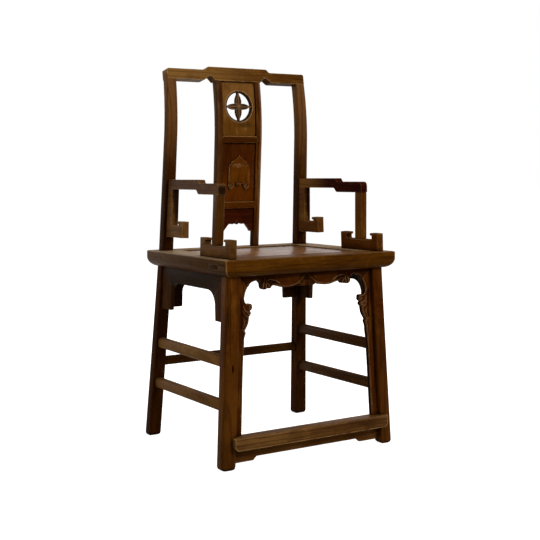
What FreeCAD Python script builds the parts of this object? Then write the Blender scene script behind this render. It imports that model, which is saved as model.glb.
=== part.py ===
import FreeCAD, Part
import math
import os
import Sketcher

# A jointed armchair: four splayed legs, a mitred seat frame with a floating board, a carved surround
# in front, plain aprons at the sides and back, stretchers, a footrest, fretted arms and a panelled back.
# X runs to the sitter's left and right, Y from the front to the back, Z up. Millimetres.
# The origin lies on the floor under the middle of the chair's overall width and depth.

SIZES = {
    # whole chair
    "overall_depth": 480.0,
    "seat_height": 529.0,
    "seat_width": 521.0,
    "seat_depth": 451.0,
    # seat frame
    "rail_thickness": 44.0,
    "rail_width": 72.0,
    "rail_under_round": 26.0,
    "rail_top_round": 3.0,
    "through_tenon_thickness": 13.0,
    "through_tenon_width": 22.0,
    "through_tenon_set_in": 42.0,
    "through_tenon_drop": 13.0,
    "blind_tenon_drop": 26.0,
    "blind_tenon_reach": 26.0,
    # seat board and its battens
    "board_recess": 3.0,
    "board_thickness": 14.0,
    "board_side_gap": 0.5,
    "tongue_thickness": 6.0,
    "tongue_drop": 4.0,
    "tongue_depth": 7.0,
    "batten_width": 30.0,
    "batten_thickness": 16.0,
    "batten_spacing": 150.0,
    "batten_tenon": 12.0,
    # legs
    "leg_width": 36.5,
    "leg_depth": 35.0,
    "leg_outer_round": 12.0,
    "leg_arris_round": 3.0,
    "foot_set_in": 11.75,
    "front_foot_set_back": 32.0,
    "front_leg_top_set_back": 42.3,
    "leg_top_set_in": 38.5,
    "leg_tenon_width": 18.0,
    "leg_tenon_height": 14.0,
    # back posts
    "post_seat_set_back": 410.5,
    "post_seat_set_in": 38.75,
    "post_seat_width": 33.0,
    "post_depth": 29.0,
    "post_top_width": 28.0,
    "post_top_set_in": 51.5,
    "post_round": 6.0,
    "post_lean_share": 0.0745,
    "post_bend_height": 830.0,
    "post_bend_radius": 700.0,
    "post_tenon_width": 12.0,
    "post_tenon_height": 14.0,
    # crest rail
    "crest_foot_height": 999.5,
    "crest_overhang": 12.5,
    "crest_thickness": 31.0,
    "crest_end_rise": 28.5,
    "crest_middle_rise": 38.5,
    "crest_step_start": 107.0,
    "crest_step_end": 93.0,
    "crest_notch_outer": 110.0,
    "crest_notch_inner": 73.5,
    "crest_notch_rise": 12.0,
    "crest_arris_round": 4.0,
    # splat
    "splat_width": 146.0,
    "stile_width": 20.0,
    "stile_depth": 22.0,
    "stile_forward": 2.0,
    "stile_tenon_height": 10.0,
    "stile_round": 4.0,
    "splat_board_thickness": 10.0,
    "splat_tongue": 4.0,
    "splat_rail_height": 20.0,
    "splat_rail_depth": 19.0,
    "splat_mitre": 10.0,
    "splat_upper_rail_height": 836.5,
    "splat_lower_rail_height": 650.5,
    "splat_apron_foot_height": 574.0,
    "splat_apron_rise": 24.5,
    "splat_hole_height": 928.5,
    "splat_hole_radius": 38.5,
    "petal_half_width": 8.5,
    "petal_root": 2.0,
    "relief_height": 4.5,
    "relief_top_height": 793.5,
    "relief_foot_height": 696.0,
    "relief_width": 67.0,
    "rim_width": 4.5,
    "rim_height": 2.0,
    # arms
    "arm_set_in": 34.5,
    "arm_pivot_set_back": 100.0,
    "arm_thickness": 20.5,
    "arm_lean_share": 0.031,
    "arm_toe_share": 0.022,
    "arm_front_set_back": 86.0,
    "arm_front_under": 157.5,
    "arm_front_top": 186.0,
    "arm_rear_under": 169.0,
    "arm_rear_top": 195.5,
    "arm_step_front": 196.0,
    "arm_step_rear": 215.0,
    "arm_nose_round": 11.0,
    "arm_tenon_length": 16.0,
    "arm_tenon_height": 14.0,
    "arm_tenon_thickness": 10.0,
    "arm_post_width": 28.5,
    "arm_post_top_set_back": 87.0,
    "arm_post_foot_set_back": 92.0,
    "arm_post_tenon": 10.0,
    "arm_post_shoulder": 7.0,
    "arm_base_front": 21.0,
    "arm_base_back": 184.5,
    "arm_base_height": 30.0,
    "arm_base_scribe": 3.0,
    "arm_upright_width": 26.5,
    "arm_upright_height": 48.0,
    "fret_lip": 7.0,
    "bracket_foot_under": 39.0,
    "bracket_foot_top": 71.0,
    "bracket_strip_top_front": 356.5,
    "bracket_strip_foot_front": 361.0,
    "bracket_hook_front": 293.0,
    "bracket_hook_width": 23.0,
    "bracket_hook_top": 83.5,
    # side and back aprons
    "apron_thickness": 12.0,
    "apron_height": 40.5,
    "apron_housing": 5.0,
    "side_apron_set_in": 24.5,
    "back_apron_set_in": 24.0,
    "side_spandrel_width": 46.0,
    "back_spandrel_width": 40.0,
    "spandrel_length": 117.5,
    "spandrel_round": 38.0,
    # carved front surround
    "front_plane_set_in": 11.5,
    "front_board_thickness": 13.0,
    "front_apron_depth": 38.5,
    "front_housing": 4.0,
    "strip_width": 20.5,
    "strip_leaf_reach": 21.5,
    # stretchers
    "side_stretcher_width": 22.0,
    "side_stretcher_height": 30.0,
    "upper_stretcher_level": 269.5,
    "lower_stretcher_level": 159.0,
    "lower_stretcher_fall": 4.0,
    "rear_stretcher_width": 21.0,
    "rear_stretcher_height": 25.5,
    "rear_stretcher_level": 213.5,
    "stretcher_round": 9.0,
    "stretcher_tenon_thickness": 9.0,
    "stretcher_tenon_height": 20.0,
    "stretcher_tenon_length": 15.0,
    # footrest
    "footrest_end_set_in": 22.5,
    "footrest_depth": 44.0,
    "footrest_level": 51.5,
    "footrest_thickness": 32.5,
    "footrest_fall": 2.5,
    "footrest_end_round": 11.0,
    "footrest_arris_round": 3.0,
    "footrest_apron_set_in": 34.0,
    "footrest_apron_thickness": 11.0,
    "footrest_apron_end_height": 39.0,
    "footrest_apron_middle_height": 29.5,
    "footrest_apron_shoulder": 168.0,
    "footrest_apron_shoulder_run": 10.0,
}

# The carved lower edge of the front apron, from its mitre to the middle of the chair:
# shares of its half length and of its depth.
APRON_EDGE_SHARES = (
    (0.859, 0.766), (0.847, 0.727), (0.813, 0.506), (0.770, 0.403), (0.727, 0.371), (0.674, 0.597),
    (0.664, 0.883), (0.645, 0.961), (0.602, 0.987), (0.573, 0.909), (0.525, 0.909), (0.510, 0.779),
    (0.486, 0.753), (0.414, 0.842), (0.371, 0.909), (0.298, 0.948), (0.226, 0.925), (0.164, 0.857),
    (0.135, 0.753), (0.116, 0.883), (0.058, 0.935), (0, 0.961),
)

# The carved inner edge of a front strip, from its mitre to the plain stretch:
# shares of its height and of the leaf's reach.
STRIP_EDGE_SHARES = (
    (0.097, 0.09), (0.125, -0.05), (0.150, -0.065), (0.177, 0.2), (0.182, 0.93), (0.1995, 1.0),
    (0.212, 0.96), (0.222, 0.70), (0.242, 0.74), (0.259, 0.60), (0.284, 0.55), (0.319, 0.41),
    (0.339, 0.18), (0.369, 0.12), (0.411, 0.14), (0.436, 0.05), (0.471, 0),
)

# The lower edge of the board at the foot of the splat: shares of its half width and of its rise.
SPLAT_APRON_SHARES = (
    (0.755, 0), (0.70, 0.25), (0.61, 0.50), (0.525, 0.755), (0.455, 0.885), (0.35, 0.90), (0.245, 0.875),
    (0.16, 0.95), (0.09, 1), (0.055, 0.88), (0, 0.83),
)

# The raised tablet on the middle board: shares of its half width and of its height.
RELIEF_SHARES = (
    (0, 1), (0.18, 0.92), (0.45, 0.855), (0.79, 0.77), (0.82, 0.72), (0.93, 0.70), (1, 0.66),
    (1, 0.12), (0.97, 0.04), (0.82, 0), (0.62, 0.02), (0.48, 0.08), (0.45, 0.13), (0.36, 0.165),
    (0.24, 0.15), (0.17, 0.11), (0.09, 0.09), (0, 0.11),
)

# The underside notch of the crest rail: places from its outer to its inner end, and rises.
CREST_NOTCH_SHARES = ((0, 0), (0.36, 0.73), (0.52, 1), (0.82, 0.88), (1, 0))

doc = FreeCAD.newDocument("hat_chair")
sheet = doc.addObject("Spreadsheet::Sheet", "sizes")
for row, (alias, number) in enumerate(SIZES.items(), start=1):
    sheet.set(f"A{row}", alias)
    sheet.set(f"B{row}", str(number))
    sheet.setAlias(f"B{row}", alias)
doc.recompute()


class Size:
    """A length or ratio that keeps its formula over the sheet together with its present value."""

    def __init__(self, text, value):
        self.text = text
        self.value = value

    def join(self, other, sign, value, swap=False):
        left, right = self.text, text_of(other)
        if swap:
            left, right = right, left
        return Size(f"({left} {sign} {right})", value)

    def __add__(self, other):
        return self.join(other, "+", self.value + number_of(other))

    def __radd__(self, other):
        return self.join(other, "+", number_of(other) + self.value, swap=True)

    def __sub__(self, other):
        return self.join(other, "-", self.value - number_of(other))

    def __rsub__(self, other):
        return self.join(other, "-", number_of(other) - self.value, swap=True)

    def __mul__(self, other):
        return self.join(other, "*", self.value * number_of(other))

    def __rmul__(self, other):
        return self.join(other, "*", number_of(other) * self.value, swap=True)

    def __truediv__(self, other):
        return self.join(other, "/", self.value / number_of(other))

    def __rtruediv__(self, other):
        return self.join(other, "/", number_of(other) / self.value, swap=True)

    def __neg__(self):
        return self * -1


def number_of(item):
    return item.value if isinstance(item, Size) else item


def text_of(item):
    return item.text if isinstance(item, Size) else str(item)


class Sizes:
    """Gives each named size by its own name."""

    def __getattr__(self, alias):
        return Size(f"sizes.{alias}", SIZES[alias])


s = Sizes()


def place(item, x=0, y=0, z=0):
    """Moves an object by bound lengths."""
    for axis, amount in zip("xyz", (x, y, z)):
        item.setExpression(f"Placement.Base.{axis}", text_of(amount))
    doc.recompute()


def turn(item, axis, degrees):
    """Turns an object that is moved afterwards."""
    item.Placement = FreeCAD.Placement(FreeCAD.Vector(), FreeCAD.Rotation(axis, degrees))


def lean(item, slope_share, x, y, z):
    """Stands an object so that it goes back by a share of its rise."""
    turn(item, FreeCAD.Vector(-1, 0, 0), math.degrees(math.atan(number_of(slope_share))))
    place(item, x, y, z)


def new_body(label):
    body = doc.addObject("PartDesign::Body", label)
    body.Label = label
    return body


def new_sketch(body, role, x=0, y=0, z=0):
    """A sketch on one of its body's own origin planes, moved by bound lengths."""
    sketch = body.newObject("Sketcher::SketchObject", f"{body.Label}_sketch{len(body.Group)}")
    for feature in body.Origin.OriginFeatures:
        if feature.Role == role:
            sketch.AttachmentSupport = [(feature, "")]
    sketch.MapMode = "FlatFace"
    for axis, amount in zip("xyz", (x, y, z)):
        sketch.setExpression(f"AttachmentOffset.Base.{axis}", text_of(amount))
    sketch.Visibility = False
    return sketch


def fix(sketch, kind, *where, amount):
    """Adds a constraint that follows the sheet."""
    index = sketch.addConstraint(Sketcher.Constraint(kind, *where, number_of(amount)))
    if isinstance(amount, Size):
        sketch.setExpression(f"Constraints[{index}]", amount.text)


def fix_point(sketch, edge, end, point):
    fix(sketch, "DistanceX", -1, 1, edge, end, amount=point[0])
    fix(sketch, "DistanceY", -1, 1, edge, end, amount=point[1])


def vector_of(point):
    return FreeCAD.Vector(number_of(point[0]), number_of(point[1]), 0)


def draw_polygon(sketch, points):
    """Draws a closed outline of straight lines."""
    count = len(points)
    for index in range(count):
        following = points[(index + 1) % count]
        sketch.addGeometry(Part.LineSegment(vector_of(points[index]), vector_of(following)), False)
    for index in range(count):
        sketch.addConstraint(Sketcher.Constraint("Coincident", index, 2, (index + 1) % count, 1))
    for index, point in enumerate(points):
        fix_point(sketch, index, 1, point)


def draw_rounded_rectangle(sketch, width, depth, rounds):
    """Draws a rectangle about the sketch's origin; each corner has a radius of its own."""
    signs = ((-1, -1), (1, -1), (1, 1), (-1, 1))
    arrivals = []
    departures = []
    for index, ((across, back), radius) in enumerate(zip(signs, rounds)):
        corner = (across * width / 2, back * depth / 2)
        beside = (corner[0] - across * radius, corner[1])
        below = (corner[0], corner[1] - back * radius)
        arrivals.append(below if index % 2 == 0 else beside)
        departures.append(beside if index % 2 == 0 else below)
    for index in range(4):
        end = arrivals[(index + 1) % 4]
        sketch.addGeometry(Part.LineSegment(vector_of(departures[index]), vector_of(end)), False)
    for index, ((across, back), radius) in enumerate(zip(signs, rounds)):
        bulge = FreeCAD.Vector(across, back, 0).normalize() * radius.value
        centre = (across * (width / 2 - radius), back * (depth / 2 - radius))
        sketch.addGeometry(Part.Arc(
            vector_of(arrivals[index]), vector_of(centre) + bulge, vector_of(departures[index])), False)
    for index in range(4):
        fix_point(sketch, index, 1, departures[index])
        fix_point(sketch, index, 2, arrivals[(index + 1) % 4])
    for index, radius in enumerate(rounds):
        arc = 4 + index
        ends = (2, 1) if sketch.Geometry[arc].StartPoint.isEqual(vector_of(departures[index]), 1e-6) else (1, 2)
        sketch.addConstraint(Sketcher.Constraint("Coincident", arc, ends[0], (index - 1) % 4, 2))
        sketch.addConstraint(Sketcher.Constraint("Coincident", arc, ends[1], index, 1))
        fix(sketch, "Radius", arc, amount=radius)


def add_plate(body, role, points, thickness, start=0, middle=False):
    """Adds a board: an outline on an origin plane, padded from start towards the plus side."""
    flipped = role == "XZ_Plane"
    sketch = new_sketch(body, role, z=-start if flipped else start)
    draw_polygon(sketch, points)
    pad = body.newObject("PartDesign::Pad", f"{body.Label}_pad{len(body.Group)}")
    pad.Profile = sketch
    pad.setExpression("Length", thickness.text)
    pad.Midplane = middle
    pad.Reversed = flipped and not middle
    doc.recompute()


def plate(label, role, points, thickness, start=0, middle=False):
    body = new_body(label)
    add_plate(body, role, points, thickness, start, middle)
    return body


def bar(label, role, across, level, start, length, width, height, rounds):
    """A level bar of rounded section that runs along X or Y."""
    body = new_body(label)
    flipped = role == "XZ_Plane"
    sketch = new_sketch(body, role, across, level, -start if flipped else start)
    draw_rounded_rectangle(sketch, width, height, rounds)
    pad = body.newObject("PartDesign::Pad", f"{label}_length")
    pad.Profile = sketch
    pad.setExpression("Length", length.text)
    pad.Reversed = flipped
    doc.recompute()
    return body


def add_loft(body, sections, ruled):
    """Adds a bar through level sections: height, middle x and y, width, depth and corner rounds."""
    sketches = []
    for height, x, y, width, depth, rounds in sections:
        sketch = new_sketch(body, "XY_Plane", x, y, height)
        if rounds:
            draw_rounded_rectangle(sketch, width, depth, rounds)
        else:
            draw_polygon(sketch, rectangle(-width / 2, width / 2, -depth / 2, depth / 2))
        sketches.append(sketch)
    loft = body.newObject("PartDesign::AdditiveLoft", f"{body.Label}_loft{len(body.Group)}")
    loft.Profile = sketches[0]
    loft.Sections = sketches[1:]
    loft.Ruled = ruled
    doc.recompute()


def rectangle(left, right, low, high):
    return ((left, low), (right, low), (right, high), (left, high))


def runs_along(edge, axis):
    """Whether an edge is straight and parallel to an axis."""
    if not isinstance(edge.Curve, Part.Line) or len(edge.Vertexes) < 2:
        return False
    ends = [vertex.Point for vertex in edge.Vertexes]
    others = [name for name in "xyz" if name != axis]
    return all(abs(getattr(ends[0], name) - getattr(ends[1], name)) < 1e-6 for name in others)


def round_edges(body, radius, axis, **where):
    """Rounds the edges along an axis that lie at the given places."""
    base = body.Tip
    names = []
    for index, edge in enumerate(base.Shape.Edges, start=1):
        if not runs_along(edge, axis):
            continue
        point = edge.Vertexes[0].Point
        if all(abs(getattr(point, name) - number_of(amount)) < 1e-3 for name, amount in where.items()):
            names.append(f"Edge{index}")
    if not names:
        raise ValueError(f"{body.Label} has no edge to round at {axis}")
    fillet = body.newObject("PartDesign::Fillet", f"{body.Label}_round{len(body.Group)}")
    fillet.Base = (base, names)
    fillet.setExpression("Radius", radius.text)
    doc.recompute()


def join(kind, label, base, tools):
    """A boolean of one piece with others."""
    tool = tools[0]
    if len(tools) > 1:
        tool = doc.addObject("Part::MultiFuse", f"{label}_tools")
        tool.Shapes = list(tools)
    result = doc.addObject(kind, label)
    result.Base = base
    result.Tool = tool
    result.Refine = True
    result.Label = label
    doc.recompute()
    return result


def cut(label, base, *tools):
    return join("Part::Cut", label, base, tools)


def fuse(label, base, *tools):
    return join("Part::Fuse", label, base, tools)


def common(label, base, *tools):
    return join("Part::Common", label, base, tools)


def box(label, left, right, near, far, low, high):
    """A box between two places along each axis."""
    item = doc.addObject("Part::Box", label)
    item.setExpression("Length", (right - left).text)
    item.setExpression("Width", (far - near).text)
    item.setExpression("Height", (high - low).text)
    item.Label = label
    place(item, left, near, low)
    return item


def tenoned(label, piece, tenons, holders):
    """A piece that stops at the faces of its holders and goes on into them as tenons."""
    stopped = cut(f"{label}_stopped", piece, *holders)
    hidden = [common(f"{label}_tenon{index}", tenon, holder)
              for index, (tenon, holder) in enumerate(zip(tenons, holders))]
    return fuse(f"{label}_whole", stopped, *hidden)


# Shared places

front = -s.overall_depth / 2
seat_top = s.seat_height
seat_under = s.seat_height - s.rail_thickness
seat_front = front
seat_back = front + s.seat_depth
half_seat = s.seat_width / 2
board_top = seat_top - s.board_recess
SIDES = (("left", -1), ("right", 1))


def along(low, high, at_low, at_high, height):
    """The value at a height, on a straight line between two heights."""
    return at_low + (at_high - at_low) * ((height - low) / (high - low))


def front_leg_x(height):
    return along(0, seat_under, half_seat - s.foot_set_in, half_seat - s.leg_top_set_in, height)


def front_leg_y(height):
    return front + along(0, seat_under, s.front_foot_set_back, s.front_leg_top_set_back, height)


def rear_leg_x(height):
    return along(0, seat_top, half_seat - s.foot_set_in, half_seat - s.post_seat_set_in, height)


def rear_leg_y(height):
    foot = s.overall_depth - s.leg_depth / 2
    return front + along(0, seat_top, foot, s.post_seat_set_back, height)


def post_x(height):
    at_seat, at_crest = half_seat - s.post_seat_set_in, half_seat - s.post_top_set_in
    return along(seat_top, s.crest_foot_height, at_seat, at_crest, height)


def back_y(height):
    """The middle of the back in depth: it leans forward from the seat and then bends away."""
    straight = front + s.post_seat_set_back - s.post_lean_share * (height - seat_top)
    over = height - s.post_bend_height
    if over.value <= 0:
        return straight
    return straight + over * over / (2 * s.post_bend_radius)


def bend_heights(high, steps):
    """Levels from the start of the bend up to a height."""
    bend = s.post_bend_height
    return [bend + (high - bend) * step / steps for step in range(steps)] + [high]


def outside_rounds(side, end, outer, inner):
    """Corner radii with the large one on the corner that faces away from the chair."""
    signs = ((-1, -1), (1, -1), (1, 1), (-1, 1))
    return [outer if sign == (side, end) else inner for sign in signs]


# Seat frame

inner_half = half_seat - s.rail_width
inner_front = seat_front + s.rail_width
inner_back = seat_back - s.rail_width
groove_top = board_top - s.tongue_drop
groove_under = groove_top - s.tongue_thickness
groove_depth = s.tongue_depth + s.board_side_gap


def seat_rail(label, role, outer, inward, start, length, plan):
    """A moulded rail with a groove for the board, mitred at both ends by its plan."""
    inner = outer + inward * s.rail_width
    groove_bottom = inner - inward * groove_depth
    section = (
        (outer, seat_under), (outer, seat_top), (inner, seat_top), (inner, groove_top),
        (groove_bottom, groove_top), (groove_bottom, groove_under), (inner, groove_under),
        (inner, seat_under),
    )
    blank = plate(f"{label}_length", role, section, length, start)
    axis, across = ("x", "y") if role == "YZ_Plane" else ("y", "x")
    round_edges(blank, s.rail_under_round, axis, **{across: outer, "z": seat_under})
    round_edges(blank, s.rail_top_round, axis, **{across: outer, "z": seat_top})
    mitre = plate(f"{label}_mitre", "XY_Plane", plan, s.rail_thickness, seat_under)
    return common(f"{label}_blank", blank, mitre)


front_rail_blank = seat_rail(
    "seat_front_rail", "YZ_Plane", seat_front, 1, -half_seat, s.seat_width,
    ((-half_seat, seat_front), (half_seat, seat_front),
     (inner_half, inner_front), (-inner_half, inner_front)))
back_rail_blank = seat_rail(
    "seat_back_rail", "YZ_Plane", seat_back, -1, -half_seat, s.seat_width,
    ((-half_seat, seat_back), (half_seat, seat_back),
     (inner_half, inner_back), (-inner_half, inner_back)))
side_rail_blanks = {}
rail_tenons = {}
for name, side in SIDES:
    label = f"seat_{name}_rail"
    side_rail_blanks[side] = seat_rail(
        label, "XZ_Plane", side * half_seat, -side, seat_front, s.seat_depth,
        ((side * half_seat, seat_front), (side * half_seat, seat_back),
         (side * inner_half, inner_back), (side * inner_half, inner_front)))
    reach = (inner_half, half_seat)
    blind_reach = (inner_half, inner_half + s.blind_tenon_reach)
    if side < 0:
        reach = (-half_seat, -inner_half)
        blind_reach = (-inner_half - s.blind_tenon_reach, -inner_half)
    through_near = seat_front + s.through_tenon_set_in
    through_high = seat_top - s.through_tenon_drop
    blind_far = seat_back - s.through_tenon_set_in
    blind_high = seat_top - s.blind_tenon_drop
    through = box(
        f"{label}_through_tenon", *reach, through_near, through_near + s.through_tenon_width,
        through_high - s.through_tenon_thickness, through_high)
    blind = box(
        f"{label}_blind_tenon", *blind_reach, blind_far - s.through_tenon_width, blind_far,
        blind_high - s.through_tenon_thickness, blind_high)
    rail_tenons[side] = (through, blind)

seat_panel = plate(
    "seat_panel", "XY_Plane",
    rectangle(-inner_half + s.board_side_gap, inner_half - s.board_side_gap,
              inner_front + s.board_side_gap, inner_back - s.board_side_gap),
    s.board_thickness, board_top - s.board_thickness)
add_plate(
    seat_panel, "XY_Plane",
    rectangle(-inner_half - s.tongue_depth, inner_half + s.tongue_depth,
              inner_front - s.tongue_depth, inner_back + s.tongue_depth),
    s.tongue_thickness, groove_under)
battens = {}
for name, side in SIDES:
    middle = side * s.batten_spacing / 2
    board_under = board_top - s.board_thickness
    battens[side] = box(
        f"seat_{name}_batten", middle - s.batten_width / 2, middle + s.batten_width / 2,
        inner_front - s.batten_tenon, inner_back + s.batten_tenon,
        board_under - s.batten_thickness, board_under)


# Legs and back posts, before their seats are cut

front_leg_blanks = {}
front_leg_tenons = {}
rear_post_blanks = {}
for name, side in SIDES:
    leg = new_body(f"front_{name}_leg_blank")
    rounds = outside_rounds(side, -1, s.leg_outer_round, s.leg_arris_round)
    add_loft(leg, [(height, side * front_leg_x(height), front_leg_y(height),
                    s.leg_width, s.leg_depth, rounds) for height in (0, seat_under)], True)
    front_leg_blanks[side] = leg
    middle = side * front_leg_x(seat_under)
    depth = front_leg_y(seat_under)
    half = s.leg_tenon_width / 2
    front_leg_tenons[side] = box(
        f"front_{name}_leg_tenon", middle - half, middle + half, depth - half, depth + half,
        seat_under - s.leg_tenon_height, seat_under + s.leg_tenon_height)

    post = new_body(f"rear_{name}_post_blank")
    leg_rounds = outside_rounds(side, 1, s.leg_outer_round, s.leg_arris_round)
    post_rounds = outside_rounds(side, 1, s.post_round, s.leg_arris_round)
    levels = [(seat_top, side * rear_leg_x(seat_top), rear_leg_y(seat_top),
               s.post_seat_width, s.post_depth, post_rounds)]
    for height in bend_heights(s.crest_foot_height + s.post_tenon_height, 4):
        width = along(seat_top, s.crest_foot_height, s.post_seat_width, s.post_top_width, height)
        levels.append((height, side * post_x(height), back_y(height), width, s.post_depth, post_rounds))
    foot = (0, side * rear_leg_x(0), rear_leg_y(0), s.leg_width, s.leg_depth, leg_rounds)
    add_loft(post, [foot, levels[0]], True)
    add_loft(post, levels[:2], True)
    add_loft(post, levels[1:], False)
    rear_post_blanks[side] = post


# Crest rail, in a frame that leans back with the posts

crest_lean_share = (s.crest_foot_height - s.post_bend_height) / s.post_bend_radius - s.post_lean_share
crest_front = back_y(s.crest_foot_height) - s.crest_thickness / 2


def crest_plate(label, points, thickness, start=0):
    body = plate(label, "XZ_Plane", points, thickness, start)
    lean(body, crest_lean_share, 0, crest_front, s.crest_foot_height)
    return body


half_crest = post_x(s.crest_foot_height) + s.crest_overhang
notch = []
for along_share, rise_share in CREST_NOTCH_SHARES:
    place_x = s.crest_notch_outer - (s.crest_notch_outer - s.crest_notch_inner) * along_share
    notch.append((place_x, s.crest_notch_rise * rise_share))
crest_half_outline = [(half_crest, s.crest_end_rise), (half_crest, 0)] + notch
crest_top = [(s.crest_step_end, s.crest_middle_rise), (s.crest_step_start, s.crest_end_rise)]
crest_outline = crest_top + crest_half_outline
crest_outline += [(-x, z) for x, z in reversed(crest_outline)]
crest_blank = crest_plate("crest_rail_blank", crest_outline, s.crest_thickness)
for place_y in (0, s.crest_thickness):
    round_edges(crest_blank, s.crest_arris_round, "x", y=place_y, z=s.crest_middle_rise)
crest_room = crest_plate(
    "crest_room", rectangle(-half_crest, half_crest, 0, s.crest_middle_rise),
    s.crest_thickness * 3, -s.crest_thickness)
post_tenons = {}
for name, side in SIDES:
    middle = side * post_x(s.crest_foot_height)
    half = s.post_tenon_width / 2
    post_tenons[side] = crest_plate(
        f"rear_{name}_post_tenon",
        rectangle(middle - half, middle + half, -s.post_tenon_height, s.post_tenon_height),
        s.post_tenon_width, (s.crest_thickness - s.post_tenon_width) / 2)


# Splat: two stiles, two rails and three boards that follow the bend of the posts


def splat_y(height):
    return back_y(height) - s.stile_forward


def splat_sections(heights, x, width, depth, rounds):
    return [(height, x, splat_y(height), width, depth, rounds) for height in heights]


def splat_plate(label, points, height, thickness, start):
    """A board of the straight part of the splat, with its foot at a height."""
    body = plate(label, "XZ_Plane", points, thickness, start)
    lean(body, -s.post_lean_share, 0, splat_y(height), height)
    return body


half_opening = s.splat_width / 2 - s.stile_width
half_board = half_opening + s.splat_tongue
half_rail = s.splat_rail_height / 2
crest_level = s.crest_foot_height + s.splat_tongue
stile_blanks = {}
for name, side in SIDES:
    stile = new_body(f"splat_{name}_stile_blank")
    middle = side * (s.splat_width - s.stile_width) / 2
    rounds = [s.stile_round] * 4
    upper = bend_heights(crest_level, 4)
    lower = [seat_top - s.stile_tenon_height, upper[0]]
    add_loft(stile, splat_sections(lower, middle, s.stile_width, s.stile_depth, rounds), True)
    add_loft(stile, splat_sections(upper, middle, s.stile_width, s.stile_depth, rounds), False)
    stile_blanks[side] = stile

splat_rail_blanks = []
for name, height in (("upper", s.splat_upper_rail_height), ("lower", s.splat_lower_rail_height)):
    point = half_opening + s.splat_mitre
    outline = (
        (-point, 0), (-half_opening, -half_rail), (half_opening, -half_rail),
        (point, 0), (half_opening, half_rail), (-half_opening, half_rail),
    )
    splat_rail_blanks.append(splat_plate(
        f"splat_{name}_rail_blank", outline, height, s.splat_rail_depth, -s.splat_rail_depth / 2))

board_start = -s.splat_board_thickness / 2
apron_top = s.splat_lower_rail_height - half_rail + s.splat_tongue - s.splat_apron_foot_height
apron_edge = [(half_board * x, s.splat_apron_rise * z) for x, z in SPLAT_APRON_SHARES]
apron_outline = [(half_board, apron_top), (half_board, 0)] + apron_edge
apron_outline += [(-x, z) for x, z in reversed(apron_outline[:-1])]
splat_bottom_apron = splat_plate(
    "splat_bottom_apron", apron_outline, s.splat_apron_foot_height, s.splat_board_thickness, board_start)

panel_foot = s.splat_lower_rail_height + half_rail - s.splat_tongue
panel_head = s.splat_upper_rail_height - half_rail + s.splat_tongue
panel_board = splat_plate(
    "splat_middle_board", rectangle(-half_board, half_board, 0, panel_head - panel_foot),
    panel_foot, s.splat_board_thickness, board_start)
relief_height = s.relief_top_height - s.relief_foot_height
relief_half = [(s.relief_width / 2 * x, relief_height * z) for x, z in RELIEF_SHARES]
relief_outline = relief_half + [(-x, z) for x, z in reversed(relief_half[1:-1])]
relief = splat_plate(
    "splat_relief", relief_outline, s.relief_foot_height,
    s.relief_height + s.splat_board_thickness / 2, board_start - s.relief_height)
splat_middle_panel = fuse("splat_middle_panel", panel_board, relief)


def curved_board(label, low, high, thickness):
    """A board of the bent part of the splat."""
    body = new_body(label)
    heights = [low + (high - low) * step / 4 for step in range(5)]
    add_loft(body, splat_sections(heights, 0, 2 * half_board, thickness, None), False)
    return body


def across_cylinder(label, x, z, radius):
    """A cylinder that runs through the splat from front to back."""
    item = doc.addObject("Part::Cylinder", label)
    item.setExpression("Radius", radius.text)
    item.setExpression("Height", (s.overall_depth / 2).text)
    turn(item, FreeCAD.Vector(-1, 0, 0), 90)
    place(item, x, 0, z)
    return item


board_foot = s.splat_upper_rail_height + half_rail - s.splat_tongue
pierced_board = curved_board("splat_top_board", board_foot, crest_level, s.splat_board_thickness)
raised_board = curved_board(
    "splat_rim_board", board_foot, crest_level, s.splat_board_thickness + 2 * s.rim_height)
hole = across_cylinder("splat_hole", 0, s.splat_hole_height, s.splat_hole_radius)
rim = common(
    "splat_rim", raised_board,
    across_cylinder("splat_rim_outside", 0, s.splat_hole_height, s.splat_hole_radius + s.rim_width))
half_petals = s.splat_hole_radius + s.petal_root
petal_radius = (half_petals * half_petals + s.petal_half_width * s.petal_half_width) \
    / (2 * s.petal_half_width)
petal_offset = petal_radius - s.petal_half_width
petals = []
for label, x, z in (("upright", petal_offset, 0), ("level", 0, petal_offset)):
    first = across_cylinder(f"petals_{label}_first", x, s.splat_hole_height + z, petal_radius)
    second = across_cylinder(f"petals_{label}_second", -x, s.splat_hole_height - z, petal_radius)
    petals.append(common(f"petals_{label}", first, second))
gaps = cut("splat_gaps", hole, *petals)
splat_top_panel = cut("splat_top_panel", fuse("splat_rimmed_board", pierced_board, rim), gaps)


# Arms: each lies in a plane that leans and turns inwards


def arm_plate(label, side, points, thickness):
    """A board in the plane of an arm; places run back from the pivot and up from the seat."""
    body = plate(label, "YZ_Plane", points, thickness, middle=True)
    axis = FreeCAD.Vector(0, -SIZES["arm_lean_share"], SIZES["arm_toe_share"]) * side
    turn(body, axis, math.degrees(axis.Length))
    place(body, side * (half_seat - s.arm_set_in), front + s.arm_pivot_set_back, seat_top)
    return body


def from_pivot(set_back):
    return set_back - s.arm_pivot_set_back


def post_middle(height):
    """The middle of the back posts, seen from the arm's pivot."""
    return back_y(seat_top + height) - front - s.arm_pivot_set_back


def arm_tenon(label, side, height):
    """A tenon from an arm piece into its post, with its middle at a height."""
    face = post_middle(height) - s.post_depth / 2
    half = s.arm_tenon_height / 2
    return arm_plate(
        label, side,
        rectangle(face - s.arm_tenon_length, face + s.arm_tenon_length, height - half, height + half),
        s.arm_tenon_thickness)


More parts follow.
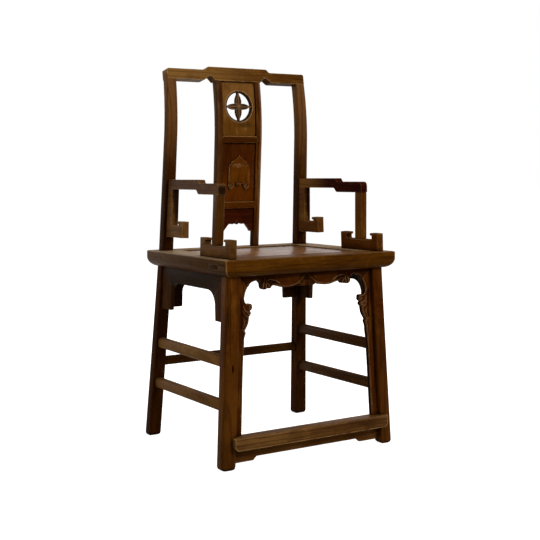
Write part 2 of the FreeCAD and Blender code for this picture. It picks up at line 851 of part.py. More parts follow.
arm_pieces = {}
arm_tenons = {}
below_seat = box(
    "below_seat", -half_seat, half_seat, seat_front, seat_back, seat_under, seat_top)
for name, side in SIDES:
    post = rear_post_blanks[side]
    nose = from_pivot(s.arm_front_set_back)
    rail = arm_plate(f"{name}_arm_rail_blank", side, (
        (nose, s.arm_front_under), (from_pivot(s.arm_step_front), s.arm_front_under),
        (from_pivot(s.arm_step_rear), s.arm_rear_under),
        (post_middle(s.arm_rear_under), s.arm_rear_under),
        (post_middle(s.arm_rear_top), s.arm_rear_top),
        (from_pivot(s.arm_step_rear), s.arm_rear_top),
        (from_pivot(s.arm_step_front), s.arm_front_top), (nose, s.arm_front_top)), s.arm_thickness)
    round_edges(rail, s.arm_nose_round, "x", y=nose, z=s.arm_front_top)
    rail_tenon = arm_tenon(
        f"{name}_arm_rail_tenon", side, (s.arm_rear_under + s.arm_rear_top) / 2)

    base_front = from_pivot(s.arm_base_front)
    base_back = from_pivot(s.arm_base_back)
    inner_base_front = base_front + s.arm_upright_width
    inner_base_back = base_back - s.arm_upright_width
    lip = s.fret_lip
    lip_under = s.arm_upright_height - lip
    base = arm_plate(f"{name}_arm_base_blank", side, (
        (base_front, -s.arm_base_scribe), (base_back, -s.arm_base_scribe),
        (base_back, s.arm_upright_height), (inner_base_back - lip, s.arm_upright_height),
        (inner_base_back - lip, lip_under), (inner_base_back, lip_under),
        (inner_base_back, s.arm_base_height), (inner_base_front, s.arm_base_height),
        (inner_base_front, lip_under), (inner_base_front + lip, lip_under),
        (inner_base_front + lip, s.arm_upright_height), (base_front, s.arm_upright_height),
    ), s.arm_thickness)

    top = from_pivot(s.arm_post_top_set_back)
    foot = from_pivot(s.arm_post_foot_set_back)
    shoulder = s.arm_post_shoulder
    post_body = arm_plate(f"{name}_arm_post_body", side, (
        (foot, s.arm_base_height), (foot + s.arm_post_width, s.arm_base_height),
        (top + s.arm_post_width, s.arm_front_under), (top, s.arm_front_under)), s.arm_thickness)
    post_tongue = arm_plate(f"{name}_arm_post_tongue", side, (
        (foot + shoulder, s.arm_base_height - s.arm_post_tenon),
        (foot + s.arm_post_width - shoulder, s.arm_base_height - s.arm_post_tenon),
        (top + s.arm_post_width - shoulder, s.arm_front_under + s.arm_post_tenon),
        (top + shoulder, s.arm_front_under + s.arm_post_tenon)), s.arm_tenon_thickness)

    hook_front = from_pivot(s.bracket_hook_front)
    hook_back = hook_front + s.bracket_hook_width
    hook_under = s.bracket_hook_top - lip
    bracket = arm_plate(f"{name}_arm_bracket_blank", side, (
        (hook_front, s.bracket_foot_under), (post_middle(s.bracket_foot_under), s.bracket_foot_under),
        (post_middle(s.arm_rear_under), s.arm_rear_under),
        (from_pivot(s.bracket_strip_top_front), s.arm_rear_under),
        (from_pivot(s.bracket_strip_foot_front), s.bracket_foot_top),
        (hook_back, s.bracket_foot_top), (hook_back, hook_under), (hook_back + lip, hook_under),
        (hook_back + lip, s.bracket_hook_top), (hook_front, s.bracket_hook_top),
    ), s.arm_thickness)
    bracket_tenon = arm_tenon(
        f"{name}_arm_bracket_tenon", side, (s.bracket_foot_under + s.bracket_foot_top) / 2)

    arm_tenons[side] = (rail_tenon, bracket_tenon)
    whole_rail = tenoned(f"{name}_arm_rail", rail, [rail_tenon], [post])
    arm_pieces[f"{name}_arm_rail"] = cut(f"{name}_arm_rail", whole_rail, post_tongue)
    arm_pieces[f"{name}_arm_post"] = fuse(f"{name}_arm_post", post_body, post_tongue)
    arm_pieces[f"{name}_arm_base"] = cut(f"{name}_arm_base", base, post_tongue, below_seat)
    arm_pieces[f"{name}_arm_bracket"] = tenoned(
        f"{name}_arm_bracket", bracket, [bracket_tenon], [post])


# Plain aprons with mitred brackets, at the sides and the back

apron_under = seat_under - s.apron_height
bracket_under = seat_under - s.spandrel_length
round_under = apron_under - s.spandrel_round


def apron_set(role, names, thickness, start, low_face, high_face, width):
    """An apron and its two brackets between two legs, whose faces are given as places by height."""
    axis, across = ("x", "y") if role == "YZ_Plane" else ("y", "x")
    opening = (
        (low_face(bracket_under) + width, bracket_under - s.spandrel_round),
        (high_face(bracket_under) - width, bracket_under - s.spandrel_round),
        (high_face(apron_under) - width, apron_under), (low_face(apron_under) + width, apron_under),
    )
    window = plate(f"{names[0]}_window", role, opening, thickness, start)
    for place_across, place_z in opening[2:]:
        round_edges(window, s.spandrel_round, axis, **{across: place_across, "z": place_z})
    low_end = low_face(seat_under) - s.apron_housing
    high_end = high_face(seat_under) + s.apron_housing
    low_corner = low_face(apron_under) + width + s.spandrel_round
    high_corner = high_face(apron_under) - width - s.spandrel_round
    outlines = [(
        (low_end, seat_under), (high_end, seat_under), (high_corner, round_under),
        (low_corner, round_under),
    )]
    for face, end, corner, sign in (
            (low_face, low_end, low_corner, -1), (high_face, high_end, high_corner, 1)):
        outlines.append((
            (end, seat_under), (corner, round_under), (corner, bracket_under),
            (face(bracket_under) + sign * s.apron_housing, bracket_under),
        ))
    return {label: cut(label, plate(f"{label}_blank", role, outline, thickness, start), window)
            for label, outline in zip(names, outlines)}


apron_pieces = {}
for name, side in SIDES:
    outer = half_seat - s.side_apron_set_in
    start = outer - s.apron_thickness if side > 0 else -outer
    apron_pieces[side] = apron_set(
        "YZ_Plane", (f"{name}_apron", f"{name}_front_bracket", f"{name}_rear_bracket"),
        s.apron_thickness, start,
        lambda height: front_leg_y(height) + s.leg_depth / 2,
        lambda height: rear_leg_y(height) - s.leg_depth / 2, s.side_spandrel_width)
back_apron_pieces = apron_set(
    "XZ_Plane", ("back_apron", "back_left_bracket", "back_right_bracket"), s.apron_thickness,
    seat_back - s.back_apron_set_in - s.apron_thickness,
    lambda height: s.leg_width / 2 - rear_leg_x(height),
    lambda height: rear_leg_x(height) - s.leg_width / 2, s.back_spandrel_width)


# Footrest and its apron

footrest_top = s.footrest_level + s.footrest_thickness
half_footrest = half_seat - s.footrest_end_set_in
footrest_blank = plate("footrest_blank", "YZ_Plane", (
    (front, s.footrest_level), (front + s.footrest_depth, s.footrest_level),
    (front + s.footrest_depth, footrest_top - s.footrest_fall), (front, footrest_top),
), 2 * half_footrest, -half_footrest)
for side in (-1, 1):
    round_edges(footrest_blank, s.footrest_end_round, "y", x=side * half_footrest, z=s.footrest_level)
round_edges(footrest_blank, s.footrest_arris_round, "x", y=front, z=footrest_top)


def front_leg_inside(height):
    return front_leg_x(height) - s.leg_width / 2


half_middle = s.footrest_apron_shoulder - s.footrest_apron_shoulder_run
end_level = s.footrest_level - s.footrest_apron_end_height
middle_level = s.footrest_level - s.footrest_apron_middle_height
footrest_half_outline = [
    (front_leg_inside(s.footrest_level) + s.front_housing, s.footrest_level),
    (front_leg_inside(end_level) + s.front_housing, end_level),
    (s.footrest_apron_shoulder, end_level), (half_middle, middle_level),
]
footrest_apron = plate(
    "footrest_apron", "XZ_Plane",
    footrest_half_outline + [(-x, z) for x, z in reversed(footrest_half_outline)],
    s.footrest_apron_thickness, front + s.footrest_apron_set_in)


# Carved front surround, in a plane that leans with the front legs

front_lean_share = (s.front_leg_top_set_back - s.front_foot_set_back) / seat_under
surround_front = front_leg_y(seat_under) - s.leg_depth / 2 + s.front_plane_set_in
surround_height = seat_under - footrest_top
half_apron = front_leg_inside(seat_under) + s.front_housing
foot_outside = front_leg_inside(footrest_top) + s.front_housing


def surround_plate(label, points):
    """A board of the front surround; places run down from the seat."""
    body = plate(label, "XZ_Plane", points, s.front_board_thickness)
    lean(body, front_lean_share, 0, surround_front, seat_under)
    return body


apron_half_outline = [(half_apron, 0)]
for across_share, drop_share in APRON_EDGE_SHARES:
    apron_half_outline.append((half_apron * across_share, -s.front_apron_depth * drop_share))
front_apron = surround_plate(
    "front_apron",
    apron_half_outline + [(-x, z) for x, z in reversed(apron_half_outline[:-1])])
strip_plain_edge = s.front_housing + s.strip_width
strip_outline = apron_half_outline[:2]
for drop_share, reach_share in STRIP_EDGE_SHARES:
    plain = along(0, 1, half_apron, foot_outside, drop_share) - strip_plain_edge
    strip_outline.append((plain - s.strip_leaf_reach * reach_share, -surround_height * drop_share))
strip_foot = -surround_height - s.footrest_fall
strip_outline += [(foot_outside - strip_plain_edge, strip_foot), (foot_outside, strip_foot)]
strip_blanks = {}
for name, side in SIDES:
    strip_blanks[side] = surround_plate(
        f"front_{name}_strip_blank", [(side * x, z) for x, z in strip_outline])


# Stretchers


def stretcher_tenon(label, x, y, z, axis):
    """A tenon with the middle of its shoulder at a place."""
    long = s.stretcher_tenon_length
    half = s.stretcher_tenon_thickness / 2
    tall = s.stretcher_tenon_height / 2
    half_x, half_y = (long, half) if axis == "x" else (half, long)
    return box(label, x - half_x, x + half_x, y - half_y, y + half_y, z - tall, z + tall)


stretcher_pieces = {}
front_tools = {-1: [], 1: []}
rear_tools = {-1: [], 1: []}
for name, side in SIDES:
    for level_name, level, fall in (
            ("upper", s.upper_stretcher_level, 0), ("lower", s.lower_stretcher_level, s.lower_stretcher_fall)):
        label = f"{name}_{level_name}_stretcher"
        x = side * (front_leg_x(level) + rear_leg_x(level)) / 2
        near = front_leg_y(level)
        far = rear_leg_y(level)
        blank = bar(
            f"{label}_blank", "XZ_Plane", 0, 0, 0, far - near, s.side_stretcher_width,
            s.side_stretcher_height, [s.stretcher_round] * 4)
        lean(blank, fall / (far - near), x, near, level)
        front_tenon = stretcher_tenon(f"{label}_front", x, near + s.leg_depth / 2, level, "y")
        rear_tenon = stretcher_tenon(f"{label}_rear", x, far - s.leg_depth / 2, level - fall, "y")
        stretcher_pieces[label] = tenoned(
            label, blank, [front_tenon, rear_tenon], [front_leg_blanks[side], rear_post_blanks[side]])
        front_tools[side].append(front_tenon)
        rear_tools[side].append(rear_tenon)

level = s.rear_stretcher_level
rear_blank = bar(
    "rear_stretcher_blank", "YZ_Plane", rear_leg_y(level), level, -rear_leg_x(level),
    2 * rear_leg_x(level), s.rear_stretcher_width, s.rear_stretcher_height, [s.stretcher_round] * 4)
rear_tenons = []
footrest_tenons = []
for name, side in SIDES:
    tenon = stretcher_tenon(
        f"rear_{name}_stretcher_tenon", side * (rear_leg_x(level) - s.leg_width / 2),
        rear_leg_y(level), level, "x")
    rear_tenons.append(tenon)
    rear_tools[side].append(tenon)
    middle = s.footrest_level + s.footrest_thickness / 2
    tenon = stretcher_tenon(
        f"footrest_{name}_tenon", side * front_leg_inside(middle), front_leg_y(middle), middle, "x")
    footrest_tenons.append(tenon)
    front_tools[side].append(tenon)
stretcher_pieces["rear_stretcher"] = tenoned(
    "rear_stretcher", rear_blank, rear_tenons, [rear_post_blanks[side] for name, side in SIDES])
footrest = tenoned(
    "footrest", footrest_blank, footrest_tenons, [front_leg_blanks[side] for name, side in SIDES])


# Finished pieces: each gives way to what is let into it

finished = {
    "seat_panel": seat_panel,
    "front_apron": front_apron,
    "footrest": footrest,
    "footrest_apron": footrest_apron,
    "splat_bottom_apron": splat_bottom_apron,
    "splat_middle_panel": splat_middle_panel,
    "splat_top_panel": splat_top_panel,
}
finished.update(arm_pieces)
finished.update(stretcher_pieces)
finished.update(back_apron_pieces)
boards = (splat_bottom_apron, panel_board, pierced_board)
front_tenon_parts = []
back_tenon_parts = []
for name, side in SIDES:
    finished.update(apron_pieces[side])
    finished[f"seat_{name}_batten"] = battens[side]
    through, blind = rail_tenons[side]
    side_blank = side_rail_blanks[side]
    front_tenon_parts.append(common(f"seat_{name}_through_tenon", side_blank, through))
    back_tenon_parts.append(common(f"seat_{name}_blind_tenon", side_blank, blind))
    finished[f"seat_{name}_rail"] = cut(
        f"seat_{name}_rail", side_blank, through, blind, front_leg_tenons[side], rear_post_blanks[side])

    strip = cut(f"front_{name}_strip", strip_blanks[side], footrest_blank)
    finished[f"front_{name}_strip"] = strip
    front_bracket = apron_pieces[side][f"{name}_front_bracket"]
    rear_bracket = apron_pieces[side][f"{name}_rear_bracket"]
    side_apron = apron_pieces[side][f"{name}_apron"]
    leg = fuse(f"front_{name}_leg_whole", front_leg_blanks[side], front_leg_tenons[side])
    finished[f"front_{name}_leg"] = cut(
        f"front_{name}_leg", leg, strip, front_apron, footrest_apron, front_bracket, side_apron,
        *front_tools[side])
    post = cut(
        f"rear_{name}_post_seats", rear_post_blanks[side], crest_room, rear_bracket, side_apron,
        back_apron_pieces[f"back_{name}_bracket"], back_apron_pieces["back_apron"],
        *rear_tools[side], *arm_tenons[side])
    finished[f"rear_{name}_post"] = fuse(
        f"rear_{name}_post", post, common(f"rear_{name}_post_tongue", post_tenons[side], crest_room))
    finished[f"splat_{name}_stile"] = cut(
        f"splat_{name}_stile", stile_blanks[side], *splat_rail_blanks, *boards)

for label, blank in zip(("splat_upper_rail", "splat_lower_rail"), splat_rail_blanks):
    finished[label] = cut(label, blank, *boards)
finished["seat_front_rail"] = cut(
    "seat_front_rail", fuse("seat_front_rail_whole", front_rail_blank, *front_tenon_parts),
    *front_leg_tenons.values(), *battens.values())
finished["seat_back_rail"] = cut(
    "seat_back_rail", fuse("seat_back_rail_whole", back_rail_blank, *back_tenon_parts),
    *rear_post_blanks.values(), *battens.values(), *stile_blanks.values())
finished["crest_rail"] = cut(
    "crest_rail", crest_blank, *post_tenons.values(), *stile_blanks.values(), pierced_board)

# Checks before anything is written

doc.recompute()
for item in doc.Objects:
    if "Invalid" in item.State or "Error" in item.State:
        raise RuntimeError(f"{item.Label}: {item.State}")
for label, item in finished.items():
    item.Label = label
    shape = item.Shape
    if shape.isNull() or not shape.isValid() or len(shape.Solids) != 1:
        raise RuntimeError(f"{label} is not one valid solid: {len(shape.Solids)}")

os.makedirs("parts", exist_ok=True)
for label, item in sorted(finished.items()):
    item.Shape.exportStep(f"parts/{label}.step")
    print(label, round(item.Shape.Volume))
print(len(finished), "pieces")
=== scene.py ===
import math

import bmesh
import bpy
from mathutils import Matrix, Vector
from mathutils.kdtree import KDTree
from mathutils.noise import noise as roughly


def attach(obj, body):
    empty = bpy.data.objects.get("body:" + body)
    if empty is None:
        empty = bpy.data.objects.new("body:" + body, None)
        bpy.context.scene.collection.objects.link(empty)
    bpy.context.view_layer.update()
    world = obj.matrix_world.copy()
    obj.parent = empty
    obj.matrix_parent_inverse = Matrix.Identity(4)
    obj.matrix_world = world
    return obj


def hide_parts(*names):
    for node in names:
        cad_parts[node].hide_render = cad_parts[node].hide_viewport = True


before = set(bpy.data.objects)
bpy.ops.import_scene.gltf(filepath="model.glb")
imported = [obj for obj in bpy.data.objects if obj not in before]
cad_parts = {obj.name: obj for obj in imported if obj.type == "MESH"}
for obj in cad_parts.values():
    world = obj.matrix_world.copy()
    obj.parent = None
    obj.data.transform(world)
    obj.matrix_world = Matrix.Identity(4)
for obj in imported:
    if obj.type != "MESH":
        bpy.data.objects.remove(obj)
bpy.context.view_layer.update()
MM = 0.001

# The chair's own measures, in millimetres

SEAT_TOP = 529.0
BACK_AT_SEAT = 170.5
BACK_LEAN = -0.0745
BEND_START = 830.0
BEND_RADIUS = 700.0
SPLAT_FORWARD = 2.0
SURROUND_PLACE = (0.0, -203.7, 485.0)
SURROUND_LEAN = 0.02124
SURROUND_THICKNESS = 13.0


# Shader helpers

def shade(red, green, blue):
    """A colour as it looks, from 0 to 255, in the numbers that a shader takes."""
    parts = (red / 255, green / 255, blue / 255)
    linear = [((part + 0.055) / 1.055) ** 2.4 if part > 0.04 else part / 12.92 for part in parts]
    return (*linear, 1.0)


def new_group(name, takes, gives):
    """A shader group. Each input has a name, and either its usual value or the word Vector or Color. Each output is
    a number, apart from one named Colour."""
    group = bpy.data.node_groups.new(name, "ShaderNodeTree")
    for label, usual in takes.items():
        kind = usual if isinstance(usual, str) else "Float"
        made = group.interface.new_socket(name=label, in_out="INPUT", socket_type=f"NodeSocket{kind}")
        if kind == "Float":
            made.default_value = usual
    for label in gives:
        kind = "Color" if label == "Colour" else "Float"
        group.interface.new_socket(name=label, in_out="OUTPUT", socket_type=f"NodeSocket{kind}")
    return group, group.nodes.new("NodeGroupInput").outputs, group.nodes.new("NodeGroupOutput")


def feed(tree, target, values):
    """Sets a node's inputs, each by its name or number, to plain values, or links other sockets to them."""
    for label, value in values.items():
        if isinstance(value, bpy.types.NodeSocket):
            tree.links.new(value, target.inputs[label])
        else:
            target.inputs[label].default_value = value


def node(tree, kind, values, **settings):
    """A new node with its settings and its inputs."""
    made = tree.nodes.new(kind)
    for name, value in settings.items():
        setattr(made, name, value)
    feed(tree, made, values)
    return made


def maths(tree, operation, *numbers, clamp=False):
    """A sum with numbers."""
    return node(tree, "ShaderNodeMath", dict(enumerate(numbers)), operation=operation, use_clamp=clamp).outputs[0]


def times(tree, first, second):
    """Two numbers multiplied."""
    return maths(tree, "MULTIPLY", first, second)


def vectors(tree, operation, *places):
    """A sum with places or directions."""
    made = node(tree, "ShaderNodeVectorMath", dict(enumerate(places)), operation=operation)
    return made.outputs["Value" if operation in ("DOT_PRODUCT", "LENGTH") else "Vector"]


def ramp(tree, value, low, high, to_low=0.0, to_high=1.0):
    """Stretches a value from the range low to high to the range to_low to to_high."""
    values = {"Value": value, "From Min": low, "From Max": high, "To Min": to_low, "To Max": to_high}
    return node(tree, "ShaderNodeMapRange", values, interpolation_type="SMOOTHSTEP").outputs["Result"]


def mixed(tree, share, first, second):
    """A colour between two others."""
    return node(tree, "ShaderNodeMix", {0: share, 6: first, 7: second}, data_type="RGBA").outputs[2]


def mottle(tree, place, scale, detail, roughness=0.55, distortion=0.0):
    """Uneven patches, from 0 to 1."""
    values = {"Vector": place, "Scale": scale, "Detail": detail, "Roughness": roughness, "Distortion": distortion}
    return node(tree, "ShaderNodeTexNoise", values).outputs["Fac"]


def drawn_out(tree, place, across, along):
    """Coordinates drawn out along the grain, which runs along their third direction."""
    return vectors(tree, "MULTIPLY", place, (across, across, along))


# Effects that several woods share

def make_grain():
    """The figure of old elm: growth rings, streaks, open pores and broad clouds. The grain runs along the third
    direction."""
    group, got, end = new_group("elm_grain", {"Place": "Vector", "Ring Spacing": 22.0},
                                ["Rings", "Streaks", "Pores", "Clouds"])
    place = got["Place"]
    heart_of_tree = (0.11, -0.17, 0.0)
    rings = node(group, "ShaderNodeTexWave", {
        "Vector": vectors(group, "ADD", drawn_out(group, place, across=1.0, along=0.09), heart_of_tree),
        "Scale": got["Ring Spacing"], "Distortion": 5.5, "Detail": 3.0, "Detail Scale": 1.4,
        "Detail Roughness": 0.55,
    }, wave_type="RINGS", rings_direction="Z", wave_profile="SIN")
    broad = mottle(group, drawn_out(group, place, across=60.0, along=3.0), 1.0, 3.0, 0.5, distortion=0.3)
    fine = mottle(group, drawn_out(group, place, across=330.0, along=11.0), 1.0, 3.0, 0.6)
    feed(group, end, {
        "Rings": rings.outputs["Fac"],
        "Streaks": maths(group, "ADD", times(group, broad, 0.45), times(group, fine, 0.55)),
        "Pores": mottle(group, drawn_out(group, place, across=480.0, along=60.0), 1.0, 2.0, 0.6),
        "Clouds": mottle(group, drawn_out(group, place, across=16.0, along=8.0), 1.0, 5.0, 0.65, distortion=0.6),
    })
    return group


def make_rubbing_glint_and_shade():
    """Where hands and cloth have rubbed the corners pale, with painted highlights on those edges as well, and where
    dirt and old wax have stayed in the hollows, with painted shade there as well.
    """
    group, got, end = new_group("rubbing_glint_and_shade", {"Place": "Vector", "Corner Width": 0.002, "Hollow Width": 0.016},
                                ["Rub_And_Glint", "Hollow_Dirt_And_Shade"])
    # Paler corners: rubbed edges, with painted highlights along them
    corner = node(group, "ShaderNodeBevel", {"Radius": got["Corner Width"]}, samples=6)
    surface = node(group, "ShaderNodeNewGeometry", {})
    facing = vectors(group, "DOT_PRODUCT", corner.outputs["Normal"], surface.outputs["Normal"])
    turned = maths(group, "SUBTRACT", 1.0, facing, clamp=True)
    patches = mottle(group, got["Place"], 34.0, 3.0, 0.65)
    corners = times(group, ramp(group, turned, 0.01, 0.1), ramp(group, patches, 0.36, 0.56, 0.15, 1.0))
    # Darker hollows from ambient occlusion: dirt and old wax, and painted shade
    inside = node(group, "ShaderNodeAmbientOcclusion", {"Distance": got["Hollow Width"]}, samples=6)
    hollow = ramp(group, maths(group, "SUBTRACT", 1.0, inside.outputs["AO"]), 0.24, 0.6)
    open_air = maths(group, "SUBTRACT", 1.0, hollow, clamp=True)
    feed(group, end, {
        "Rub_And_Glint": times(group, corners, open_air),
        "Hollow_Dirt_And_Shade": times(group, hollow, ramp(group, patches, 0.1, 0.5, 0.6, 1.0)),
    })
    return group


def make_cut_depth():
    """How far a place lies behind the uncut face of a carved board, in millimetres. Front and Foot are a place on
    that face, Lean is how far it leans for each metre of rise, and Bend is 1 where it follows the bend of the back."""
    group, got, end = new_group("cut_depth", {"Place": "Vector", "Front": 0.0, "Foot": 0.0, "Lean": 0.0, "Bend": 0.0},
                                ["Depth"])
    parts = node(group, "ShaderNodeSeparateXYZ", {0: got["Place"]}).outputs
    rise = maths(group, "SUBTRACT", parts["Z"], got["Foot"])
    face = maths(group, "ADD", got["Front"], times(group, rise, got["Lean"]))
    above = maths(group, "MAXIMUM", maths(group, "SUBTRACT", parts["Z"], BEND_START * MM), 0.0)
    curving = maths(group, "DIVIDE", got["Bend"], 2.0 * BEND_RADIUS * MM)
    bent = times(group, times(group, above, above), curving)
    behind = maths(group, "SUBTRACT", parts["Y"], maths(group, "ADD", face, bent))
    feed(group, end, {"Depth": maths(group, "DIVIDE", behind, MM)})
    return group


def make_flaw_and_shadow():
    """A dark oval mark: a knot or a short crack in the wood, and under the arms a painted shadow."""
    group, got, end = new_group("flaw_and_shadow", {"Place": "Vector", "Centre": "Vector", "Reach": "Vector"},
                                ["Mark"])
    away = vectors(group, "DIVIDE", vectors(group, "SUBTRACT", got["Place"], got["Centre"]), got["Reach"])
    ragged = times(group, mottle(group, got["Place"], 260.0, 2.0), 0.9)
    feed(group, end, {"Mark": ramp(group, maths(group, "ADD", vectors(group, "LENGTH", away), ragged), 1.5, 0.9)})
    return group


def make_varnish():
    """Old varnish over the grain: one colour, how dull it is, and how high the surface stands. Ridge_Rub_And_Glint
    and Ground_Dirt_And_Shade tell the rubbed ridges of a carving, with painted highlights on them, and its dirty
    ground, with painted shade in it; Sheen_And_Paling is a band painted paler, as painted sheen and light on some
    pieces and as rubbing on others."""
    takes = dict.fromkeys(("Rings", "Streaks", "Pores", "Clouds", "Rub_And_Glint", "Hollow_Dirt_And_Shade"), 0.5)
    takes |= dict.fromkeys(("Ridge_Rub_And_Glint", "Ground_Dirt_And_Shade", "Sheen_And_Paling", "Mark"), 0.0)
    takes |= dict.fromkeys(("Dark", "Warm", "Pale", "Bare_And_Glint_Tone", "Sheen_And_Paling_Tone"), "Color")
    takes |= {"Ring Strength": 0.35, "Dullness": 0.4}
    group, got, end = new_group("old_varnish", takes, ["Colour", "Roughness", "Height"])
    streaked = times(group, ramp(group, got["Streaks"], 0.5, 0.34), 0.75)
    colour = mixed(group, streaked, got["Warm"], got["Dark"])
    bright = times(group, ramp(group, got["Clouds"], 0.47, 0.66), ramp(group, got["Streaks"], 0.36, 0.56))
    colour = mixed(group, bright, colour, got["Pale"])
    # A paler band: painted sheen and light on some pieces, rubbing on others
    colour = mixed(group, got["Sheen_And_Paling"], colour, got["Sheen_And_Paling_Tone"])
    lines = times(group, ramp(group, got["Rings"], 0.22, 0.02), got["Ring Strength"])
    # Darker clouds of the grain itself
    shadow = times(group, ramp(group, got["Clouds"], 0.46, 0.3), 0.55)
    pores = times(group, ramp(group, got["Pores"], 0.42, 0.26), 0.6)
    for share in (lines, shadow, pores):
        colour = mixed(group, share, colour, got["Dark"])
    # Paler edges and ridges: rubbing, with painted highlights
    rubbed_and_lit = maths(group, "MAXIMUM", times(group, got["Rub_And_Glint"], 0.8), got["Ridge_Rub_And_Glint"])
    colour = mixed(group, rubbed_and_lit, colour, got["Bare_And_Glint_Tone"])
    # Darker and duller in hollows, grooves and marks: dirt and stains, with painted shade and painted shadow
    dirt_and_shade_tone = node(group, "ShaderNodeHueSaturation", {"Value": 0.3, "Color": got["Dark"]})
    dirt_and_shade = maths(group, "MAXIMUM", times(group, got["Hollow_Dirt_And_Shade"], 0.85), got["Ground_Dirt_And_Shade"])
    dirt_and_shade = maths(group, "MAXIMUM", dirt_and_shade, got["Mark"])
    dull = maths(group, "ADD", got["Dullness"], ramp(group, got["Clouds"], 0.3, 0.7, -0.06, 0.08))
    dull = maths(group, "ADD", dull, times(group, dirt_and_shade, 0.3))
    height = maths(group, "SUBTRACT", times(group, got["Streaks"], 0.5), times(group, lines, 0.35))
    feed(group, end, {
        "Colour": mixed(group, dirt_and_shade, colour, dirt_and_shade_tone.outputs["Color"]),
        "Roughness": maths(group, "ADD", dull, times(group, pores, 0.25), clamp=True),
        "Height": maths(group, "SUBTRACT", height, times(group, pores, 0.8)),
    })
    return group


elm_grain = make_grain()
rubbing_glint_and_shade = make_rubbing_glint_and_shade()
cut_depth = make_cut_depth()
flaw_and_shadow = make_flaw_and_shadow()
old_varnish = make_varnish()
QUARTER_TURN = math.radians(90)
ALONG = {"upright": (0.0, 0.0, 0.0), "across": (0.0, QUARTER_TURN, 0.0), "deep": (QUARTER_TURN, 0.0, 0.0)}
PORE_DEPTH = 0.6 * MM
PORE_STRENGTH = 0.25
COAT_DULLNESS = 0.18
woods = {}


def effect(tree, group, values):
    """One of the shared effects, used in a material."""
    return node(tree, "ShaderNodeGroup", values, node_tree=group).outputs


def wood(name, grain, tones, shift=(0.0, 0.0, 0.0), rings=22.0, ring_strength=0.35, dullness=0.42, gloss=0.01,
         coat=0.0, corner=0.003, hollow=0.016, face=None, high=None, ground=(1.3, 2.6, 0.8), thick=13.0,
         paling_and_sheen=None, mark=None):
    """One wood finish. grain says which way it runs: upright, across from left to right, or deep from front to
    back. tones are the colours of the dark streaks, the body of the wood, the pale streaks, where it is rubbed bare
    and lit by painted highlights and, for some, of a paler band. face is the uncut face of a carving, as (front,
    foot, lean, bend), with the cutting depths in millimetres between which its ridges are rubbed pale and given
    painted highlights (high) and its ground is darkened by dirt and painted shade (ground), and how thick the board
    is. paling_and_sheen is the direction, the places between which the wood is painted paler, as painted sheen and
    light on some pieces and as rubbing on others, and how much. mark is the centre and the reach of a knot, a
    crack, a stain or a painted shadow, and how dark it is."""
    material = bpy.data.materials.new(f"{name}_wood")
    material.use_nodes = True
    tree = material.node_tree
    where = node(tree, "ShaderNodeTexCoord", {}).outputs["Object"]
    turned = node(tree, "ShaderNodeMapping", {"Vector": where, "Location": shift, "Rotation": ALONG[grain]})
    figure = effect(tree, elm_grain, {"Place": turned.outputs["Vector"], "Ring Spacing": rings})
    # Paler rubbed edges with painted highlights, and hollows darkened by dirt and painted shade
    rubbing_and_shade = effect(tree, rubbing_glint_and_shade, {"Place": where, "Corner Width": corner, "Hollow Width": hollow})
    values = {output.name: output for output in (*figure, *rubbing_and_shade)}
    values |= {"Ring Strength": ring_strength, "Dullness": dullness}
    for label, tone in zip(("Dark", "Warm", "Pale", "Bare_And_Glint_Tone", "Sheen_And_Paling_Tone"), (*tones, tones[2])):
        values[label] = shade(*tone)
    if face:
        front, foot, lean, bend = face
        cut = {"Place": where, "Front": front, "Foot": foot, "Lean": lean, "Bend": bend}
        depth = effect(tree, cut_depth, cut)["Depth"]
        # Carved ridges painted paler: rubbed, and lit by painted highlights
        if high:
            *ridge, share = high
            uneven = ramp(tree, mottle(tree, where, 120.0, 2.0), 0.4, 0.6, 0.25, share)
            values["Ridge_Rub_And_Glint"] = times(tree, ramp(tree, depth, *ridge), uneven)
        # Carved ground darkened: dirt, and painted shade in the grooves
        inside = ramp(tree, depth, thick - 0.3, thick - 1.5)
        start, end, share = ground
        values["Ground_Dirt_And_Shade"] = times(tree, ramp(tree, depth, start, end, 0.0, share), inside)
    # A band painted paler: painted sheen and light on some pieces, rubbing on others
    if paling_and_sheen:
        way, start, end, share = paling_and_sheen
        parts = node(tree, "ShaderNodeSeparateXYZ", {0: where}).outputs
        values["Sheen_And_Paling"] = ramp(tree, parts[way], start, end, 0.0, share)
    # A dark mark: a knot, a crack or a stain, and on the hangers a painted shadow
    if mark:
        centre, reach, share = mark
        dark_patch = effect(tree, flaw_and_shadow, {"Place": where, "Centre": centre, "Reach": reach})
        values["Mark"] = times(tree, dark_patch["Mark"], share)
    varnish = effect(tree, old_varnish, values)
    relief = node(tree, "ShaderNodeBump", {
        "Strength": PORE_STRENGTH, "Distance": PORE_DEPTH, "Height": varnish["Height"]})
    feed(tree, tree.nodes["Principled BSDF"], {
        "Base Color": varnish["Colour"], "Roughness": varnish["Roughness"], "Normal": relief.outputs["Normal"],
        "Specular IOR Level": gloss, "Coat Weight": coat, "Coat Roughness": COAT_DULLNESS,
    })
    woods[name] = material


CARVED = (32, 10, 1), (72, 32, 3), (97, 54, 9), (175, 136, 92)
STILE_FACE = (0.1576, SEAT_TOP * MM, BACK_LEAN, 1.0)
BOARD_FACE = (0.1635, SEAT_TOP * MM, BACK_LEAN, 1.0)
TABLET_FACE = (0.1585, SEAT_TOP * MM, BACK_LEAN, 0.0)
SURROUND_FACE = (SURROUND_PLACE[1] * MM, SURROUND_PLACE[2] * MM, SURROUND_LEAN, 0.0)
# Legs painted paler towards their feet
LEG_PALER_BELOW = ("Z", 0.4, 0.1, 0.6)

